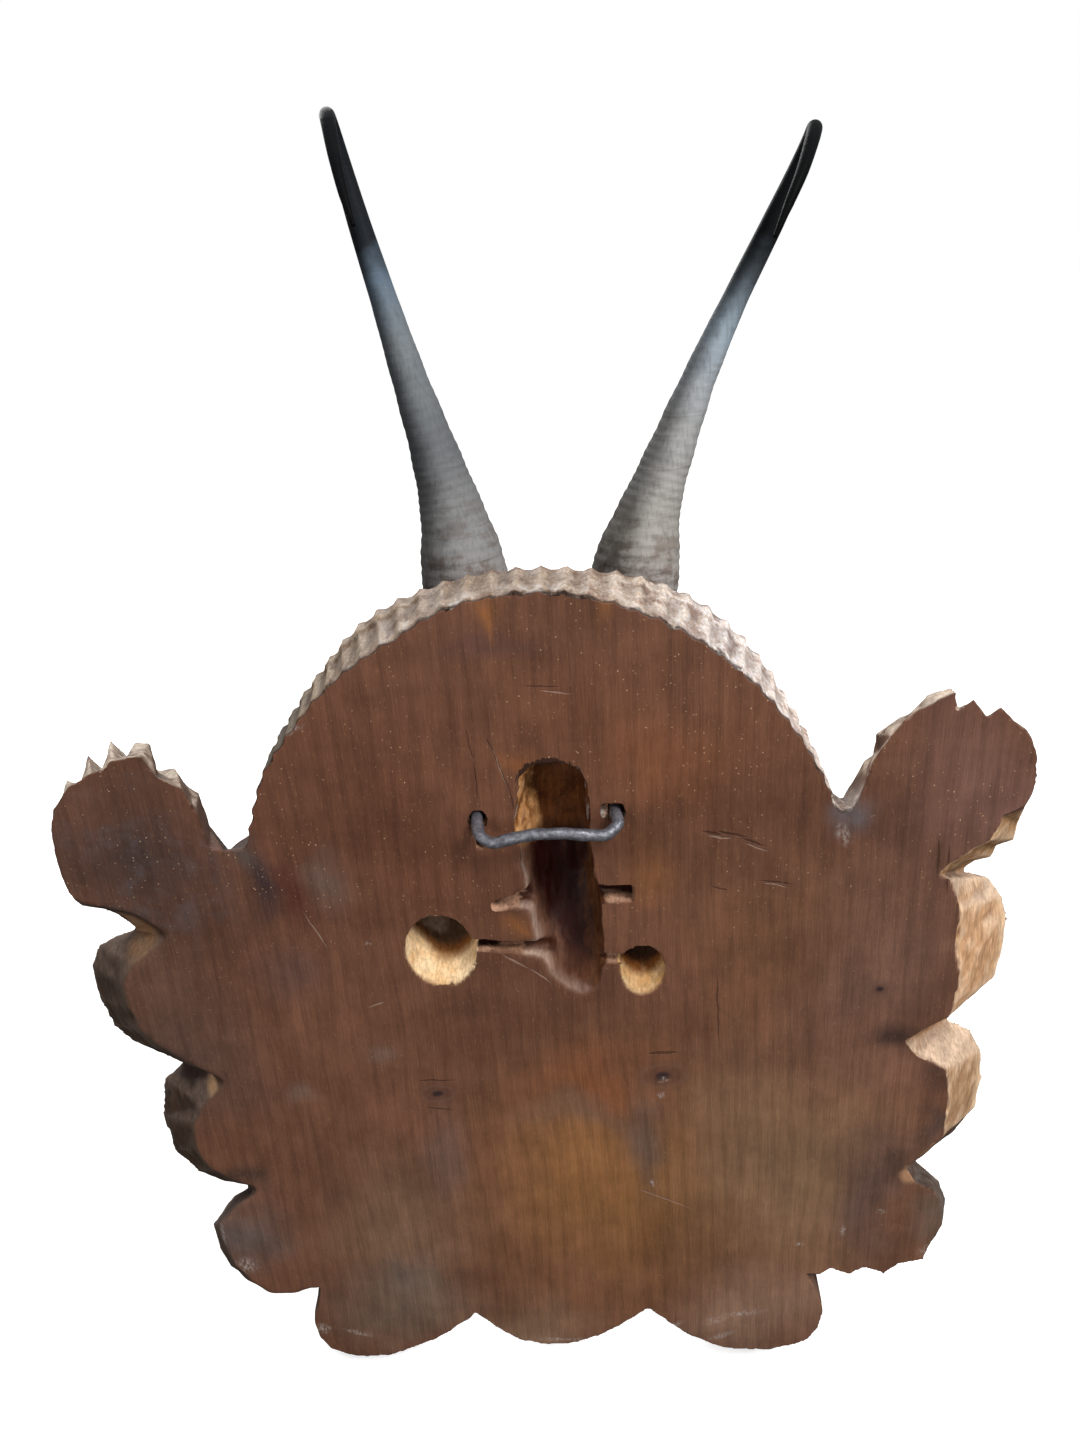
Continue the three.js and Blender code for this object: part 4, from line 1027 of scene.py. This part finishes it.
def bone_material():
    n = Nodes("bone")
    cloud = n.speckle((0.05, 0.05, 0.05), 5.0, 0.65)
    colour = n.ramp(cloud, [(0.3, (0.42, 0.32, 0.2)), (0.5, (0.62, 0.53, 0.38)), (0.7, (0.72, 0.65, 0.5))])
    pores = n.cells(n.place, 1.1)
    colour = n.mix(n.mul(n.band(pores, 0.35, 0.05), 0.5), colour, (0.2, 0.13, 0.08))
    wander = n.mul(n.add(n.noise(n.place, 0.5, 4.0, 0.8), -0.5), 7.0)
    seam = n.band(n.math("ABSOLUTE", n.add(n.add(n.x, 3.0), wander)), 0.9, 0.2)
    colour = n.mix(n.mul(seam, 0.7), colour, (0.16, 0.1, 0.06))
    normal = n.bump(cloud, 0.8, 0.5)
    normal = n.bump(pores, 0.2, 0.5, normal)
    rough = n.band(cloud, 0.3, 0.7, 0.6, 0.75)
    return n.finish(Base_Color=colour, Roughness=rough, Normal=normal, Specular_IOR_Level=0.35)


def make_skull():
    obj = remeshed("skull_cap", "skull_bone", SKULL_VOXEL)
    points, normals = surface_of(obj.data)
    sawn = points[:, 1] > SKULL_SAWN_FROM
    move = layered(points, (9.0, 31, 0.7), (3.0, 32, 0.25))
    move[sawn] = 0
    move_points(obj.data, points + normals * move[:, None])
    set_material(obj, bone_material())
    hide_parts("skull_cap")
    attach(obj, "root")


# The stage, in millimetres, and how bright it is
FLOOR_LEVEL = -169.5
FLOOR_HALF = 9500.0
FLOOR_GLOW = 0.5
BACKDROP_RADIUS = 14000.0
ROOM_BELOW = 0.08
ROOM_ABOVE = 0.85
# Round lights: place, target and size in metres, and power in watts
LIGHTS = {
    "key": ((-0.75, 0.75, 1.2), (0, 0, 0.08), 0.5, 21.0),
    "fill": ((0.6, 1.4, 0.3), (0, 0, 0.05), 1.0, 7.0),
    "front": ((0.5, -1.2, 0.9), (0, 0, 0.1), 0.9, 14.0),
}


def stage_material(name, albedo, glow):
    return Nodes(name).finish(Base_Color=(albedo,) * 3, Roughness=0.9, Emission_Color=(1, 1, 1),
                              Emission_Strength=glow, Specular_IOR_Level=0.0)


def studio_world():
    """Soft light that comes mostly from above."""
    world = bpy.data.worlds.new("studio")
    bpy.context.scene.world = world
    world.use_nodes = True
    tree = world.node_tree
    where = tree.nodes.new("ShaderNodeTexCoord")
    split = tree.nodes.new("ShaderNodeSeparateXYZ")
    tree.links.new(where.outputs["Generated"], split.inputs[0])
    level = tree.nodes.new("ShaderNodeMapRange")
    tree.links.new(split.outputs[2], level.inputs[0])
    for number, value in enumerate((-0.7, 1.0, ROOM_BELOW, ROOM_ABOVE), 1):
        level.inputs[number].default_value = value
    tree.links.new(level.outputs[0], tree.nodes["Background"].inputs[1])
    tree.nodes["Background"].inputs[0].default_value = (1, 1, 1, 1)


def backdrop_only(obj):
    """Seen by the camera, and no light on the trophy from it."""
    obj.visible_diffuse = False
    obj.visible_glossy = False
    obj.visible_shadow = False


def make_stage():
    size = FLOOR_HALF
    corners = [(x, y, FLOOR_LEVEL) for x, y in ((-size, -size), (size, -size), (size, size), (-size, size))]
    floor = object_from("floor", corners, [(0, 1, 2, 3)])
    set_material(floor, stage_material("floor", 0.8, FLOOR_GLOW))
    backdrop_only(floor)
    ball = bmesh.new()
    bmesh.ops.create_icosphere(ball, subdivisions=4, radius=BACKDROP_RADIUS * MM)
    mesh = bpy.data.meshes.new("backdrop")
    ball.to_mesh(mesh)
    ball.free()
    backdrop = placed("backdrop", mesh)
    set_material(backdrop, stage_material("backdrop", 0.0, 1.0))
    backdrop_only(backdrop)
    studio_world()


def make_lights():
    for name, (place, target, size, power) in LIGHTS.items():
        data = bpy.data.lights.new(name, "AREA")
        data.shape = "DISK"
        data.size = size
        data.energy = power
        light = placed(name, data)
        light.location = place
        light.rotation_euler = (Vector(target) - Vector(place)).to_track_quat("-Z", "Y").to_euler()


def make_camera():
    turn = (Matrix.Rotation(VIEW_AZIMUTH, 4, "Z") @ Matrix.Rotation(math.pi / 2 - VIEW_ELEVATION, 4, "X")
            @ Matrix.Rotation(-VIEW_ROLL, 4, "Z"))
    data = bpy.data.cameras.new("camera")
    data.sensor_fit = "VERTICAL"
    data.sensor_height = SENSOR_HEIGHT
    data.lens = VIEW_LENS
    data.clip_start = CLIP_START
    camera = placed("camera", data)
    camera.matrix_world = Matrix.Translation(VIEW_CENTRE) @ turn @ Matrix.Translation((0, 0, VIEW_DISTANCE))
    bpy.context.scene.camera = camera


make_camera()
make_stage()
make_lights()

make_plaque()
make_horns()
iron = iron_material()
make_staple(iron)
make_skull()
for node in ("screw_upper", "screw_lower"):
    set_material(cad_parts[node], iron)

bpy.context.scene.view_settings.view_transform = "Standard"
